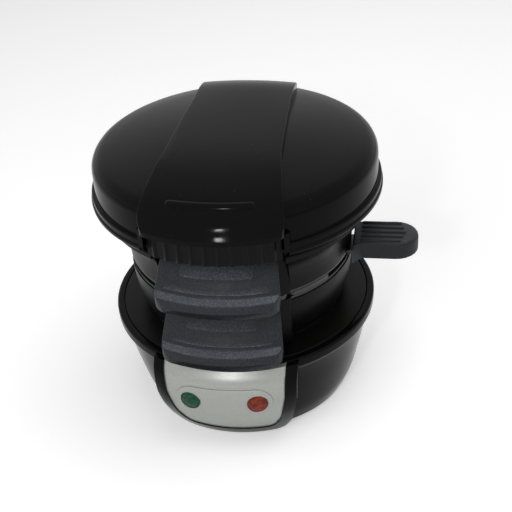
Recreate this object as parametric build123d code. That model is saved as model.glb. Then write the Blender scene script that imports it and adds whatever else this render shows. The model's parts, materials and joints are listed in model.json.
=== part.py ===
from build123d import *
import math
import os

# Breakfast sandwich maker for one round sandwich.
# A bowl-shaped base, two stacked cooking rings with a swinging plate between them, and a domed lid.
# The rings and the lid turn on one pin at the rear.
# Millimetres.  +Z is up, -Y is the front, and the origin is on the table under the middle of the rings.

os.makedirs("parts", exist_ok=True)

# ---- driving dimensions ----

# cooking rings
BORE = 51.0                 # inner radius of both rings, for a muffin about 100 mm across
LINER_WALL = 1.6            # sheet of the ring liners
LINER_LIP = 1.5             # thickness of the lips at both ends of a liner
BOTTOM_RING_HEIGHT = 29.7
TOP_RING_HEIGHT = 29.3
RING_FOOT = 4.5             # how far the bottom ring stands out from the bore at its foot
RING_WAIST = 10.0           # the same where the two rings meet
RING_COLLAR = 19.5          # the same at the collar of the top ring
COLLAR_HEIGHT = 3.6
ROOT_HALF = 33.5            # half width of the curved block that carries a ring's handle
ROOT_REACH = 10.2           # how far that block's face stands out from the bore

# cooking plate between the rings
PLATE_SHEET = 2.4
PLATE_LAP = 3.5             # how far the plate covers the ring faces
PIVOT_X = 27.0              # place of the plate's pivot, in the right end of the handle block
PIVOT_IN = 5.0              # from the face of the handle block back to the pivot
PIVOT_R = 2.2
PIVOT_HEAD_R = 3.6
PIVOT_HEAD = 1.1            # thickness of the pin's head, sunk in the plate
TONGUE_HALF = 8.0
WEB_INSET = 0.5             # edge of the plate's web inside the rings
SIDE_HANDLE_LENGTH = 34.5
SIDE_HANDLE_HALF = 12.0
SIDE_HANDLE_Y = -2.0
SIDE_HANDLE_HEIGHT = 9.7

# ring handles
HANDLE_ROOT_HALF = 28.0
HANDLE_LIP_HALF = 32.5
HANDLE_REACH = 21.3         # from the face of the block to the lip
HANDLE_SHEET = 5.0
HANDLE_DROP = 22.2          # from the root's top to the lip's foot
HANDLE_LIP_SHEET = 2.9
HANDLE_FOOT_DROP = 19.0     # from the root's top to the foot of its mounting plate
HANDLE_CORNER = 6.5         # rounding of the lip's two corners, seen from above
RIDGE_R = 0.7

# base
BASE_HEIGHT = 57.0          # table to the top of the deck
FLANGE_STEP = 22.5          # flange radius beyond the bore
FLANGE_THICK = 6.0
BOWL_TOP_STEP = 21.0        # bowl radius beyond the bore, just under the flange
BOWL_FOOT_STEP = 8.0        # bowl radius beyond the bore, at its lower edge
BOWL_WALL = 2.5
RIM_WIDTH = 4.1             # width of the glossy edge round the deck
DECK_SHEET = 2.6
FOOT_GAP = 2.0              # table to the lower edge of the bowl
COVER_SHEET = 2.5
FOOT_RING_WIDTH = 6.0
VENT_LENGTH = 22.0
VENT_WIDTH = 2.6

# control panel
PANEL_HALF = 38.0           # half width of the gloss frame at the deck
PANEL_FIELD_HALF = 32.2     # half width of the silver panel
PANEL_BULGE = 8.0           # how far the panel stands out past the flange
PANEL_WALL = 2.2
PANEL_SINK = 0.7            # silver surface behind the frame's surface
LIGHT_X = 17.8
LIGHT_DROP = 18.0           # deck to the middle of the lights
LENS_R = 5.6
PAD_RISE = 0.6              # raised pad round the lights, in front of the silver surface
PAD_HALF_HEIGHT = 9.4
PAD_END = 7.9               # middle of a light to the end of the pad

# heating plates
HEATER_SHEET = 4.0
ELEMENT_INSET = 14.0        # from the bore in to the middle of both heating elements
ELEMENT_R = 3.2
ELEMENT_TURN = 300.0        # degrees of the ring that the element fills
ELEMENT_LEG = 17.0
POST_RING_R = 20.0
POST_R = 3.5
POST_LENGTH = 15.8
PAN_SHEET = 0.8
PAN_INSET = 3.2             # from the bore in to the pan's wall
THERMOSTAT_R = 8.0
FUSE_R = 1.8
FUSE_LENGTH = 12.0

# lid
LID_STEP = 24.0             # radius of the dome's wall beyond the bore
LID_RIM_STEP = 2.5          # rim beyond the dome's wall
LID_RIM_LIFT = 4.9          # underside of the lid to the rim's lower edge
LID_RIM_HEIGHT = 6.5
LID_WALL = 2.5
DOME_HEIGHT = 25.0          # crown of the dome above the rim
EDGE_DROP = 6.7             # crown to where its arc meets the line of the wall
SHOULDER_R = 7.5            # rounding between the wall and the crown
BAND_RISE = 4.5             # top of the band above the crown
BAND_REAR_HALF = 26.6
BAND_FRONT_HALF = 35.5
BAND_LIP_REACH = 6.5        # front lip beyond the dome's wall
BAND_LIP_Z = 18.4           # front lip above the lid's underside
BAND_LIP_SHEET = 2.8
PILL_HALF = 19.5            # half length of the ridge near the front of the band
PILL_R = 1.5
GRIP_HALF = 33.0
GRIP_PITCH = 6.6
NOTCH_HALF = 38.0           # half width of the notch in the rim
LINER_SHEET = 1.6

# hinge
PIN_R = 2.5
PIN_BEHIND = 6.5            # pin axis behind the lid's rim
PIN_ABOVE = 28.0            # pin axis above the deck
KNUCKLE_R = 7.0
KNUCKLE = 5.0               # width of every knuckle along the pin
KNUCKLE_START = 7.0         # inner face of the innermost knuckle
KNUCKLE_GAP = 0.7           # from one knuckle to the next
SADDLE_CLEAR = 8.0          # cord gland's flange to the foot of the hinge's saddle

# fits, edges and screws
EDGE_ROUND = 1.2            # rounding of the edges that a hand meets
FACE_GAP = 0.3              # between parts that open from each other
SEAT_GAP = 0.1              # between parts that are fixed to each other
RUN_GAP = 0.05              # round a pin that turns
SCREW_R = 1.5
SCREW_HEAD_R = 2.8
SCREW_HEAD = 1.8
SCREW_HOLE = 0.05           # round a screw in its hole
GLAND_BORE = 3.6
GLAND_R = 5.9
GLAND_FLANGE_R = 8.0
GLAND_Z = 16.0
GLAND_LENGTH = 14.0

# ---- heights and radii that follow ----

RING_1_FOOT = BASE_HEIGHT + FACE_GAP
RING_1_TOP = RING_1_FOOT + BOTTOM_RING_HEIGHT
PLATE_FOOT = RING_1_TOP + FACE_GAP
PLATE_TOP = PLATE_FOOT + PLATE_SHEET
RING_2_FOOT = PLATE_TOP + FACE_GAP
RING_2_TOP = RING_2_FOOT + TOP_RING_HEIGHT
LID_FOOT = RING_2_TOP + FACE_GAP
RIM_FOOT = LID_FOOT + LID_RIM_LIFT
RIM_TOP = RIM_FOOT + LID_RIM_HEIGHT
CROWN = RIM_TOP + DOME_HEIGHT
WALL_TOP = CROWN - EDGE_DROP - SHOULDER_R
NOTCH_TOP = LID_FOOT + BAND_LIP_Z - BAND_LIP_SHEET
BAND_TOP = CROWN + BAND_RISE

LINER_R = BORE + LINER_WALL
FOOT_R = BORE + RING_FOOT
WAIST_R = BORE + RING_WAIST
COLLAR_R = BORE + RING_COLLAR
ROOT_FACE = BORE + ROOT_REACH
FLANGE_R = BORE + FLANGE_STEP
BOWL_TOP_R = BORE + BOWL_TOP_STEP
BOWL_FOOT_R = BORE + BOWL_FOOT_STEP
DOME_R = BORE + LID_STEP
RIM_R = DOME_R + LID_RIM_STEP
DECK_R = FLANGE_R - RIM_WIDTH
PANEL_R = FLANGE_R + PANEL_BULGE
PIN_Y = RIM_R + PIN_BEHIND
PIN_Z = BASE_HEIGHT + PIN_ABOVE
PIVOT_Y = -math.sqrt((ROOT_FACE - PIVOT_IN) ** 2 - PIVOT_X ** 2)
PLATE_R = BORE + PLATE_LAP
HANDLE_FACE = ROOT_FACE + SEAT_GAP
HANDLE_1_TOP = RING_1_TOP - 0.8
HANDLE_2_TOP = RING_2_TOP - 1.8
SIDE_ROOT = WAIST_R + 1.5
COVER_TOP = FOOT_GAP + COVER_SHEET
ELEMENT_PITCH_R = BORE - ELEMENT_INSET
PAN_R = BORE - PAN_INSET
LIGHT_Z = BASE_HEIGHT - LIGHT_DROP
BEYOND = 200.0              # longer than the object, for cutting right through


# ---- helpers ----

def lathe(*edges):
    """Solid turned about the drum axis from a closed half section in the plane y = 0."""
    return revolve(make_face(Wire(list(edges))), Axis.Z)


def lathe_points(*points):
    """Solid turned about the drum axis from a closed list of (radius, height) corners."""
    corners = [(r, 0, z) for r, z in points]
    return revolve(make_face(Polyline(*corners, close=True)), Axis.Z)


def tube(outer, inner, low, high):
    """Ring about the drum axis."""
    return lathe_points((inner, low), (outer, low), (outer, high), (inner, high))


def rod(radius, start, end):
    """Cylinder between two points."""
    start = Vector(*start)
    end = Vector(*end)
    along = end - start
    return extrude(Plane(origin=start, z_dir=along) * Circle(radius), along.length)


def block(x, y, z):
    """Box from three (low, high) pairs."""
    size = [high - low for low, high in (x, y, z)]
    middle = [(high + low) / 2 for low, high in (x, y, z)]
    return Pos(*middle) * Box(*size)


def side_plate(points, x_low, x_high):
    """Plate with a (y, z) outline, between two x values."""
    face = make_face(Polyline(*[(x_low, y, z) for y, z in points], close=True))
    return extrude(face, x_high - x_low, dir=(1, 0, 0))


def rising(edges, low, high):
    """Upright solid between two heights from the closed outline of its plan."""
    return Pos(0, 0, low) * extrude(make_face(Wire(edges)), high - low, dir=(0, 0, 1))


def polar(radius, angle):
    return radius * math.cos(math.radians(angle)), radius * math.sin(math.radians(angle))


def screw(length, head_r=SCREW_HEAD_R, head=SCREW_HEAD):
    """Pan-head screw with a cross recess: head up, seat at z = 0, shank down."""
    body = Cylinder(head_r, head, align=(Align.CENTER, Align.CENTER, Align.MIN))
    body = fillet(body.edges().sort_by(Axis.Z)[-1], head * 0.4)
    body += rod(SCREW_R, (0, 0, 0.2), (0, 0, -length))
    slot_length = head_r * 1.1
    slot = Box(slot_length, 0.6, head) + Box(0.6, slot_length, head)
    return body - Pos(0, 0, head) * slot


def save(node, shape):
    export_step(shape, f"parts/{node}.step")


def group(solids):
    """Separate solids kept in one node."""
    return Compound(children=list(solids))


# ---- base ----

BOWL_CURVE = [
    (BOWL_TOP_R, BASE_HEIGHT - FLANGE_THICK),
    (BOWL_TOP_R - 2.6, BASE_HEIGHT * 0.72),
    (BOWL_TOP_R - 5.8, BASE_HEIGHT * 0.46),
    (BOWL_FOOT_R + 3.7, BASE_HEIGHT * 0.2),
    (BOWL_FOOT_R, FOOT_GAP),
]


def bowl_body(inset=0.0, top=BASE_HEIGHT):
    """Solid of the whole bowl and flange, drawn in by the inset."""
    curve = [(r - inset, 0, z) for r, z in BOWL_CURVE]
    flange = FLANGE_R - inset
    step = curve[0][2]
    return lathe(
        Line((0, 0, FOOT_GAP), curve[-1]),
        Spline(*reversed(curve)),
        Line(curve[0], (flange, 0, step)),
        Line((flange, 0, step), (flange, 0, top)),
        Line((flange, 0, top), (0, 0, top)),
        Line((0, 0, top), (0, 0, FOOT_GAP)),
    )


def bowl_hollow():
    """Space inside the bowl, up to the ledge that carries the deck."""
    curve = [(r - BOWL_WALL, 0, z) for r, z in BOWL_CURVE]
    foot = (curve[-1][0], 0, FOOT_GAP - 1.0)
    return lathe(
        Line((0, 0, foot[2]), foot),
        Line(foot, curve[-1]),
        Spline(*reversed(curve)),
        Line(curve[0], (0, 0, curve[0][2])),
        Line((0, 0, curve[0][2]), (0, 0, foot[2])),
    )


DECK_FOOT = BASE_HEIGHT - DECK_SHEET
LEDGE_R = DECK_R - 3.0
COVER_SCREW_R = BOWL_FOOT_R - 8.0
COVER_SCREW_ANGLES = [45, 135, 225, 315]
COVER_R = BOWL_FOOT_R - BOWL_WALL - FACE_GAP
BOSS_R = 4.2
BOSS_TOP = 24.0
GLAND_FACE = BOWL_FOOT_R + 8.2


def panel_profile(offset):
    """Front of the panel as (radius, height) points, moved out by the offset."""
    out = PANEL_R + offset
    return [
        (out - 4.6, BASE_HEIGHT),
        (out - 1.0, BASE_HEIGHT - 5.0),
        (out, BASE_HEIGHT * 0.8),
        (out - 0.4, BASE_HEIGHT * 0.68),
        (out - 3.0, BASE_HEIGHT * 0.5),
        (out - 7.4, BASE_HEIGHT * 0.33),
        (out - 12.6, BASE_HEIGHT * 0.17),
        (out - 16.8, FOOT_GAP + 1.0),
    ]


def panel_body(offset):
    """Solid of revolution whose surface is the bulging front of the panel."""
    curve = [(r, 0, z) for r, z in panel_profile(offset)]
    low = curve[-1][2]
    return lathe(
        Spline(*curve),
        Line(curve[-1], (0, 0, low)),
        Line((0, 0, low), (0, 0, BASE_HEIGHT)),
        Line((0, 0, BASE_HEIGHT), curve[0]),
    )


def panel_outline(half, foot):
    """Bar through the front with the outline of the panel as seen from the front."""
    span = BASE_HEIGHT - foot
    corners = [
        (half, BASE_HEIGHT), (half - 0.8, foot + span * 0.62), (half * 0.87, foot + span * 0.22),
        (half * 0.72, foot), (-half * 0.72, foot), (-half * 0.87, foot + span * 0.22),
        (0.8 - half, foot + span * 0.62), (-half, BASE_HEIGHT),
    ]
    face = make_face(Polyline(*[(x, -BORE, z) for x, z in corners], close=True))
    low = [v for v in face.vertices() if v.Z < foot + 1.0]
    face = fillet(low, half * 0.26)
    return extrude(face, BEYOND, dir=(0, -1, 0))


FRAME_FOOT = FOOT_GAP + 1.5
FIELD_FOOT = 10.5


def frame_outline(inset=0.0):
    return panel_outline(PANEL_HALF - inset, FRAME_FOOT + inset)


def field_outline(gap=0.0):
    return panel_outline(PANEL_FIELD_HALF - gap, FIELD_FOOT + gap)


def light_turn(side):
    """Angle about the drum axis that points a light outwards at its place."""
    return side * math.degrees(math.asin(LIGHT_X / PANEL_R))


def base_shell():
    shell = bowl_body() - bowl_hollow()
    shell = shell - tube(DECK_R, 0.0, DECK_FOOT, BASE_HEIGHT + 1.0)
    shell = shell - tube(LEDGE_R, 0.0, BASE_HEIGHT - FLANGE_THICK - 1.0, BASE_HEIGHT)
    top_edges = shell.edges().filter_by(GeomType.CIRCLE).group_by(Axis.Z)[-1]
    shell = fillet(top_edges.sort_by(SortBy.LENGTH)[-1], min(EDGE_ROUND, RIM_WIDTH * 0.3))
    for angle in COVER_SCREW_ANGLES:
        x, y = polar(COVER_SCREW_R, angle)
        boss = rod(BOSS_R, (x, y, COVER_TOP + SEAT_GAP), (x, y, BOSS_TOP))
        rib = block((COVER_SCREW_R, BOWL_TOP_R), (-1.0, 1.0), (COVER_TOP + 5.0, BOSS_TOP))
        rib = (Rot(0, 0, angle) * rib) & bowl_body(inset=BOWL_WALL / 2)
        shell = shell + boss + rib
        shell = shell - rod(SCREW_R + SCREW_HOLE, (x, y, 0), (x, y, BOSS_TOP - 3.0))
    gland_boss = rod(GLAND_FLANGE_R + 1.0, (0, BOWL_FOOT_R - 3.0, GLAND_Z), (0, GLAND_FACE, GLAND_Z))
    shell = shell + gland_boss
    shell = shell - rod(GLAND_R + SEAT_GAP, (0, 0, GLAND_Z), (0, BEYOND, GLAND_Z))
    window = frame_outline(inset=6.5) - block((-BEYOND, BEYOND), (-BEYOND, 0), (DECK_FOOT - 6.0, BEYOND))
    shell = shell - window
    for x in BRACKET_SCREW_X:
        shell = shell - rod(SCREW_R + SCREW_HOLE, (x, 0, BRACKET_SCREW_Z), (x, PIN_Y, BRACKET_SCREW_Z))
    return shell


def base_deck():
    deck = lathe_points(
        (BORE + 0.4, DECK_FOOT), (DECK_R - SEAT_GAP, DECK_FOOT), (DECK_R - SEAT_GAP, BASE_HEIGHT),
        (BORE + 3.2, BASE_HEIGHT), (BORE + 3.2, DECK_FOOT + 0.8), (BORE + 0.4, DECK_FOOT + 0.8),
    )
    return deck


def bottom_cover():
    cover = tube(COVER_R, 0.0, FOOT_GAP, COVER_TOP)
    ring_r = foot_ring_radius()
    cover = cover - tube(
        ring_r + SEAT_GAP, ring_r - FOOT_RING_WIDTH - SEAT_GAP, FOOT_GAP - 1.0, FOOT_GAP + 1.0 + SEAT_GAP
    )
    for row in range(-3, 4):
        slot = SlotOverall(VENT_LENGTH, VENT_WIDTH)
        cover = cover - extrude(Pos(0, row * 3 * VENT_WIDTH, 0) * slot, COVER_TOP + 1.0)
    for angle in COVER_SCREW_ANGLES:
        x, y = polar(COVER_SCREW_R, angle)
        cover = cover - rod(SCREW_R + SCREW_HOLE, (x, y, 0), (x, y, COVER_TOP + 1.0))
        cover = cover - rod(SCREW_HEAD_R + FACE_GAP, (x, y, 0), (x, y, FOOT_GAP + SCREW_HEAD * 0.8))
    return cover


def foot_ring_radius():
    """Outer radius of the standing ring, inside the cover's screws."""
    return COVER_SCREW_R - SCREW_HEAD_R - 1.0


def foot_ring():
    outer = foot_ring_radius()
    return tube(outer, outer - FOOT_RING_WIDTH, 0.0, FOOT_GAP + 1.0)


def cover_screws():
    one = Rot(180, 0, 0) * screw(12.0)
    seat = FOOT_GAP + SCREW_HEAD * 0.8
    places = [polar(COVER_SCREW_R, angle) for angle in COVER_SCREW_ANGLES]
    return group([Pos(x, y, seat) * one for x, y in places])


def panel_housing():
    inner_line = panel_body(-PANEL_WALL - PANEL_SINK) & frame_outline(inset=PANEL_WALL)
    housing = (panel_body(0.0) & frame_outline()) - inner_line
    housing = housing - bowl_body(inset=-SEAT_GAP)
    housing = housing - field_outline()
    return housing


def control_panel():
    panel = (panel_body(-PANEL_SINK) & field_outline(SEAT_GAP))
    hollow = panel_body(-PANEL_SINK - PANEL_WALL) & field_outline(SEAT_GAP + PANEL_WALL)
    hollow = hollow - block((-BEYOND, BEYOND), (-BEYOND, 0), (BASE_HEIGHT - PANEL_WALL, BEYOND))
    panel = panel - hollow
    panel = panel - bowl_body(inset=-SEAT_GAP)
    pad = SlotOverall(2 * (LIGHT_X + PAD_END), 2 * PAD_HALF_HEIGHT)
    pad = extrude(Plane.XZ * Pos(0, LIGHT_Z, 0) * pad, BEYOND) & panel_body(PAD_RISE - PANEL_SINK)
    panel = panel + (pad - panel_body(-PANEL_SINK - PANEL_WALL / 2))
    hole = rod(LENS_R + SEAT_GAP, (0, -BORE, LIGHT_Z), (0, -BEYOND, LIGHT_Z))
    for side in (-1, 1):
        panel = panel - Rot(0, 0, light_turn(side)) * hole
    return panel


LENS_SEAT = PANEL_R - PANEL_SINK - PANEL_WALL - 3.0


def lens(side):
    """Faceted dome light: a flange behind the panel, a neck through it and a dome in front."""
    neck_end = PANEL_R - PANEL_SINK + PAD_RISE + 0.1
    flange = rod(LENS_R + 1.2, (0, 1.4 - LENS_SEAT, LIGHT_Z), (0, 0.2 - LENS_SEAT, LIGHT_Z))
    neck = rod(LENS_R, (0, 0.6 - LENS_SEAT, LIGHT_Z), (0, -neck_end, LIGHT_Z))
    cap_r = 16.0
    cap = Pos(0, cap_r - neck_end - 0.9, LIGHT_Z) * Sphere(cap_r)
    cap = cap & rod(LENS_R, (0, 0.5 - neck_end, LIGHT_Z), (0, -neck_end - 5.0, LIGHT_Z))
    return Rot(0, 0, light_turn(side)) * (flange + neck + cap)


LAMP_R = 2.6
LAMP_FRONT = LENS_SEAT - 2.0
LAMP_LENGTH = 12.0


def lamp(side):
    """Neon lamp: a glass bulb with a round nose, lying behind its light."""
    back = LAMP_FRONT - LAMP_LENGTH
    bulb = rod(LAMP_R, (0, -back, LIGHT_Z), (0, LAMP_R - LAMP_FRONT, LIGHT_Z))
    nose = Pos(0, LAMP_R - LAMP_FRONT, LIGHT_Z) * Sphere(LAMP_R)
    return Rot(0, 0, light_turn(side)) * (bulb + nose)


def lamp_bracket():
    """Plate with two sleeves that hold the lamps behind their lights."""
    front = LAMP_FRONT - 5.0
    back = LAMP_FRONT - LAMP_LENGTH - 1.5
    parts = []
    cuts = []
    for side in (-1, 1):
        turn = Rot(0, 0, light_turn(side))
        parts.append(turn * rod(LAMP_R + 1.2, (0, -back, LIGHT_Z), (0, -front, LIGHT_Z)))
        cuts.append(turn * rod(LAMP_R + RUN_GAP, (0, 0.5 - back - 1.0, LIGHT_Z), (0, -BEYOND, LIGHT_Z)))
    bridge = block((-LIGHT_X, LIGHT_X), (-back - 3.2, -back - 1.4), (LIGHT_Z - 4.0, LIGHT_Z + 4.0))
    bracket = parts[0] + parts[1] + bridge
    return bracket - cuts[0] - cuts[1]


def element(extra=0.0):
    """Sheathed heating element: most of a ring, with a leg down at each end."""
    start = 90.0 + (360.0 - ELEMENT_TURN) / 2
    section = Plane.XZ * Pos(ELEMENT_PITCH_R, 0) * Circle(ELEMENT_R + extra)
    ring = Rot(0, 0, start) * revolve(section, Axis.Z, revolution_arc=ELEMENT_TURN)
    for angle in (start, start + ELEMENT_TURN):
        x, y = polar(ELEMENT_PITCH_R, angle)
        ring = ring + rod(ELEMENT_R + extra, (x, y, 0), (x, y, -ELEMENT_LEG))
        ring = ring + Pos(x, y, 0) * Sphere(ELEMENT_R + extra)
    return ring


def heater_plate(body_r, flange_r, flange_low):
    """Heating plate, face up at z = 0: flange, ridge with the element's groove, and three posts."""
    plate = tube(body_r, 0.0, -HEATER_SHEET, 0.0) + tube(flange_r, 0.0, flange_low - 1.4, flange_low)
    ridge = ELEMENT_R + 2.3
    plate = plate + tube(
        ELEMENT_PITCH_R + ridge, ELEMENT_PITCH_R - ridge, -HEATER_SHEET - 2 * ELEMENT_R - 0.6, -HEATER_SHEET
    )
    for angle in POST_ANGLES:
        x, y = polar(POST_RING_R, angle)
        post_end = -HEATER_SHEET - POST_LENGTH
        plate = plate + rod(POST_R, (x, y, -HEATER_SHEET), (x, y, post_end))
        plate = plate - rod(SCREW_R + SCREW_HOLE, (x, y, post_end), (x, y, post_end + 10.0))
    return plate - Pos(0, 0, ELEMENT_Z) * element(RUN_GAP)


POST_ANGLES = [90, 210, 330]
ELEMENT_Z = -HEATER_SHEET - ELEMENT_R - 0.2
PAN_FLOOR = -HEATER_SHEET - POST_LENGTH - SEAT_GAP


def reflector():
    """Sheet pan behind a heating plate that is face up at z = 0, held to its posts."""
    pan = lathe_points(
        (0, PAN_FLOOR), (PAN_R - PAN_SHEET, PAN_FLOOR), (PAN_R - PAN_SHEET, -HEATER_SHEET - SEAT_GAP),
        (PAN_R, -HEATER_SHEET - SEAT_GAP), (PAN_R, PAN_FLOOR - PAN_SHEET), (0, PAN_FLOOR - PAN_SHEET),
    )
    for angle in POST_ANGLES:
        x, y = polar(POST_RING_R, angle)
        pan = pan - rod(SCREW_R + SCREW_HOLE, (x, y, 0), (x, y, -BEYOND))
    start = 90.0 + (360.0 - ELEMENT_TURN) / 2
    for angle in (start, start + ELEMENT_TURN):
        x, y = polar(ELEMENT_PITCH_R, angle)
        pan = pan - rod(ELEMENT_R + 1.0, (x, y, PAN_FLOOR - 5.0), (x, y, PAN_FLOOR + 2.0))
    return pan


def plate_screws():
    """Three screws that hold a reflector to the posts of a plate that is face up at z = 0."""
    one = Rot(180, 0, 0) * screw(9.0)
    seat = PAN_FLOOR - PAN_SHEET
    return [Pos(*polar(POST_RING_R, angle), seat) * one for angle in POST_ANGLES]


def thermostat():
    """Disc thermostat on the back of a plate that is face up at z = 0, with its two tabs."""
    top = -HEATER_SHEET - SEAT_GAP
    body = rod(THERMOSTAT_R, (0, 0, top), (0, 0, top - 5.0))
    body = body + rod(THERMOSTAT_R - 1.5, (0, 0, top - 4.0), (0, 0, top - 8.5))
    for side in (-1, 1):
        body = body + block((side * 4.0 - 0.4, side * 4.0 + 0.4), (-2.4, 2.4), (top - 12.5, top - 8.0))
    return body


def thermal_fuse():
    """Axial fuse in its strap, on the back of a plate that is face up at z = 0."""
    middle = -HEATER_SHEET - FUSE_R - 1.0
    half = FUSE_LENGTH / 2
    y = -POST_RING_R - 2.0
    fuse = rod(FUSE_R, (-half, y, middle), (half, y, middle))
    fuse = fuse + rod(0.5, (-half - 5.0, y, middle), (half + 5.0, y, middle))
    strap_z = (middle - FUSE_R - 0.5, -HEATER_SHEET - SEAT_GAP)
    strap = block((-2.0, 2.0), (y - FUSE_R - 1.5, y + FUSE_R + 1.5), strap_z)
    return fuse + strap


HEATER_FACE = BASE_HEIGHT - FACE_GAP


def bottom_side(shape):
    """Place of a plate's part in the base: the heating face looks up."""
    return Pos(0, 0, HEATER_FACE) * shape


def lid_side(shape):
    """Place of a plate's part in the lid: the heating face looks down."""
    return Pos(0, 0, LID_FOOT) * (Rot(0, 180, 0) * shape)


def bottom_plate():
    return bottom_side(heater_plate(BORE - SEAT_GAP, BORE + 2.9, 0.0))


def terminal_block():
    y = BOWL_FOOT_R - 24.0
    foot = COVER_TOP + SEAT_GAP
    body = block((-13.0, 13.0), (y - 6.0, y + 6.0), (foot, foot + 10.0))
    for x in (-8.0, 0.0, 8.0):
        body = body - rod(1.6, (x, y - 7.0, foot + 5.0), (x, y + 7.0, foot + 5.0))
        body = body - rod(1.8, (x, y, foot + 5.0), (x, y, foot + 11.0))
    return body


def cord_gland():
    """Bushing through the rear of the base, with its bore for the lead."""
    face = GLAND_FACE
    gland = rod(GLAND_R, (0, face + 0.5, GLAND_Z), (0, face - GLAND_LENGTH, GLAND_Z))
    gland = gland + rod(GLAND_FLANGE_R, (0, face + 2.2, GLAND_Z), (0, face + SEAT_GAP, GLAND_Z))
    return gland - rod(GLAND_BORE, (0, 0, GLAND_Z), (0, BEYOND, GLAND_Z))


# ---- hinge ----

def knuckle_x(order):
    """Low and high x of a knuckle on the right side, counted from the middle."""
    start = KNUCKLE_START + order * (KNUCKLE + KNUCKLE_GAP)
    return start, start + KNUCKLE


def knuckles(order, arm, gap):
    """A pair of arms, left and right, that end in round knuckles on the pin."""
    low, high = knuckle_x(order)
    right = side_plate(arm, low, high) + rod(KNUCKLE_R, (low, PIN_Y, PIN_Z), (high, PIN_Y, PIN_Z))
    right = right - rod(PIN_R + gap, (0, PIN_Y, PIN_Z), (BEYOND, PIN_Y, PIN_Z))
    return right, mirror(right, Plane.YZ)


BASE_KNUCKLE = 3
LID_KNUCKLE = 2
RING_2_KNUCKLE = 1
RING_1_KNUCKLE = 0
BRACKET_HALF = knuckle_x(BASE_KNUCKLE)[1]
BRACKET_SCREW_X = (-BRACKET_HALF * 0.4, BRACKET_HALF * 0.4)
BRACKET_SCREW_Z = BASE_HEIGHT - 15.0
BRACKET_BACK = PIN_Y - KNUCKLE_R - 2.0


def hinge_bracket():
    """Saddle on the back of the base with two ears up to the pin."""
    saddle_foot = GLAND_Z + GLAND_FLANGE_R + SADDLE_CLEAR
    saddle = block((-BRACKET_HALF, BRACKET_HALF), (BORE, BRACKET_BACK), (saddle_foot, BASE_HEIGHT + 3.0))
    lower = saddle.edges().filter_by(Axis.X).group_by(Axis.Z)[0]
    saddle = chamfer(lower.sort_by(Axis.Y)[-1], 6.0)
    ear = [
        (FLANGE_R - 7.0, BASE_HEIGHT - 2.0), (BRACKET_BACK, BASE_HEIGHT - 14.0), (PIN_Y, BASE_HEIGHT + 2.0),
        (PIN_Y + KNUCKLE_R * 0.96, PIN_Z), (PIN_Y - KNUCKLE_R * 0.96, PIN_Z + 1.0),
    ]
    right, left = knuckles(BASE_KNUCKLE, ear, SCREW_HOLE * 0.4)
    bracket = saddle + right + left - bowl_body(inset=-0.02)
    bracket = bracket - tube(FLANGE_R - 4.0, 0.0, BASE_HEIGHT - 5.0, BASE_HEIGHT + 5.0)
    z = BRACKET_SCREW_Z
    for x in BRACKET_SCREW_X:
        bracket = bracket - rod(SCREW_R + SCREW_HOLE, (x, 0, z), (x, BRACKET_BACK - 1.5, z))
    return bracket


def bracket_screws():
    """Two screws from inside the bowl into the saddle."""
    wall = BOWL_TOP_R - BOWL_WALL - 4.0
    one = Rot(90, 0, 0) * screw(8.4)
    solids = []
    for x in BRACKET_SCREW_X:
        y = math.sqrt(wall ** 2 - x ** 2)
        solids.append(Pos(x, y, BRACKET_SCREW_Z) * one)
    return group(solids)


def hinge_pin():
    half = BRACKET_HALF + 2.0
    return rod(PIN_R, (-half, PIN_Y, PIN_Z), (half, PIN_Y, PIN_Z))


def hinge_caps():
    """Push-on caps on both ends of the pin."""
    start = BRACKET_HALF + SEAT_GAP
    cap = rod(KNUCKLE_R - 1.5, (start, PIN_Y, PIN_Z), (start + 3.0, PIN_Y, PIN_Z))
    cap = cap - rod(PIN_R + 0.01, (0, PIN_Y, PIN_Z), (BRACKET_HALF + 2.05, PIN_Y, PIN_Z))
    cap = fillet(cap.edges().sort_by(Axis.X)[-1], 1.0)
    return group([cap, mirror(cap, Plane.YZ)])


# ---- rings ----

def ring_liner(low, high, foot_lip, top_lip):
    """Thin bore of a ring with a lip at each end."""
    return lathe_points(
        (BORE, low), (foot_lip, low), (foot_lip, low + LINER_LIP), (LINER_R, low + LINER_LIP),
        (LINER_R, high - LINER_LIP), (top_lip, high - LINER_LIP), (top_lip, high), (BORE, high),
    )


def front_sector(radius, low, high):
    """Part of a round bar about the drum axis, as wide as the handle blocks, at the front."""
    bar = rod(radius, (0, 0, low), (0, 0, high))
    return bar & block((-ROOT_HALF, ROOT_HALF), (-BEYOND, -BORE * 0.5), (low, high))


def handle_root(low, high):
    """Block with a round face at the front of a ring, which carries its handle."""
    root = front_sector(ROOT_FACE, low, high)
    uprights = root.edges().filter_by(Axis.Z).group_by(Axis.Y)[0]
    return fillet(uprights, 1.5)


HANDLE_SCREW_TURN = math.degrees(math.asin(HANDLE_ROOT_HALF * 0.6 / ROOT_FACE))
HANDLE_SCREW_LIFT = 9.0     # foot of a handle's mounting plate to its screws
HANDLE_SCREW_SEAT = 3.0     # wall between a handle and its screw heads


def handle_screw_turns():
    return [Rot(0, 0, side * HANDLE_SCREW_TURN) for side in (-1, 1)]


def cut_handle_screws(shell, foot):
    """Pockets for the screw heads, behind the liner, and holes through the block's face."""
    z = foot + HANDLE_SCREW_LIFT
    seat = HANDLE_SCREW_SEAT - ROOT_FACE
    for turn in handle_screw_turns():
        shell = shell - turn * rod(SCREW_HEAD_R + FACE_GAP, (0, -BORE * 0.5, z), (0, seat, z))
        shell = shell - turn * rod(SCREW_R + SCREW_HOLE, (0, -BORE * 0.5, z), (0, -ROOT_FACE - 1.0, z))
    return shell


def handle_screws(foot):
    one = Pos(0, HANDLE_SCREW_SEAT - ROOT_FACE, foot + HANDLE_SCREW_LIFT) * Rot(-90, 0, 0) * screw(7.0)
    return group([turn * one for turn in handle_screw_turns()])


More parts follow.
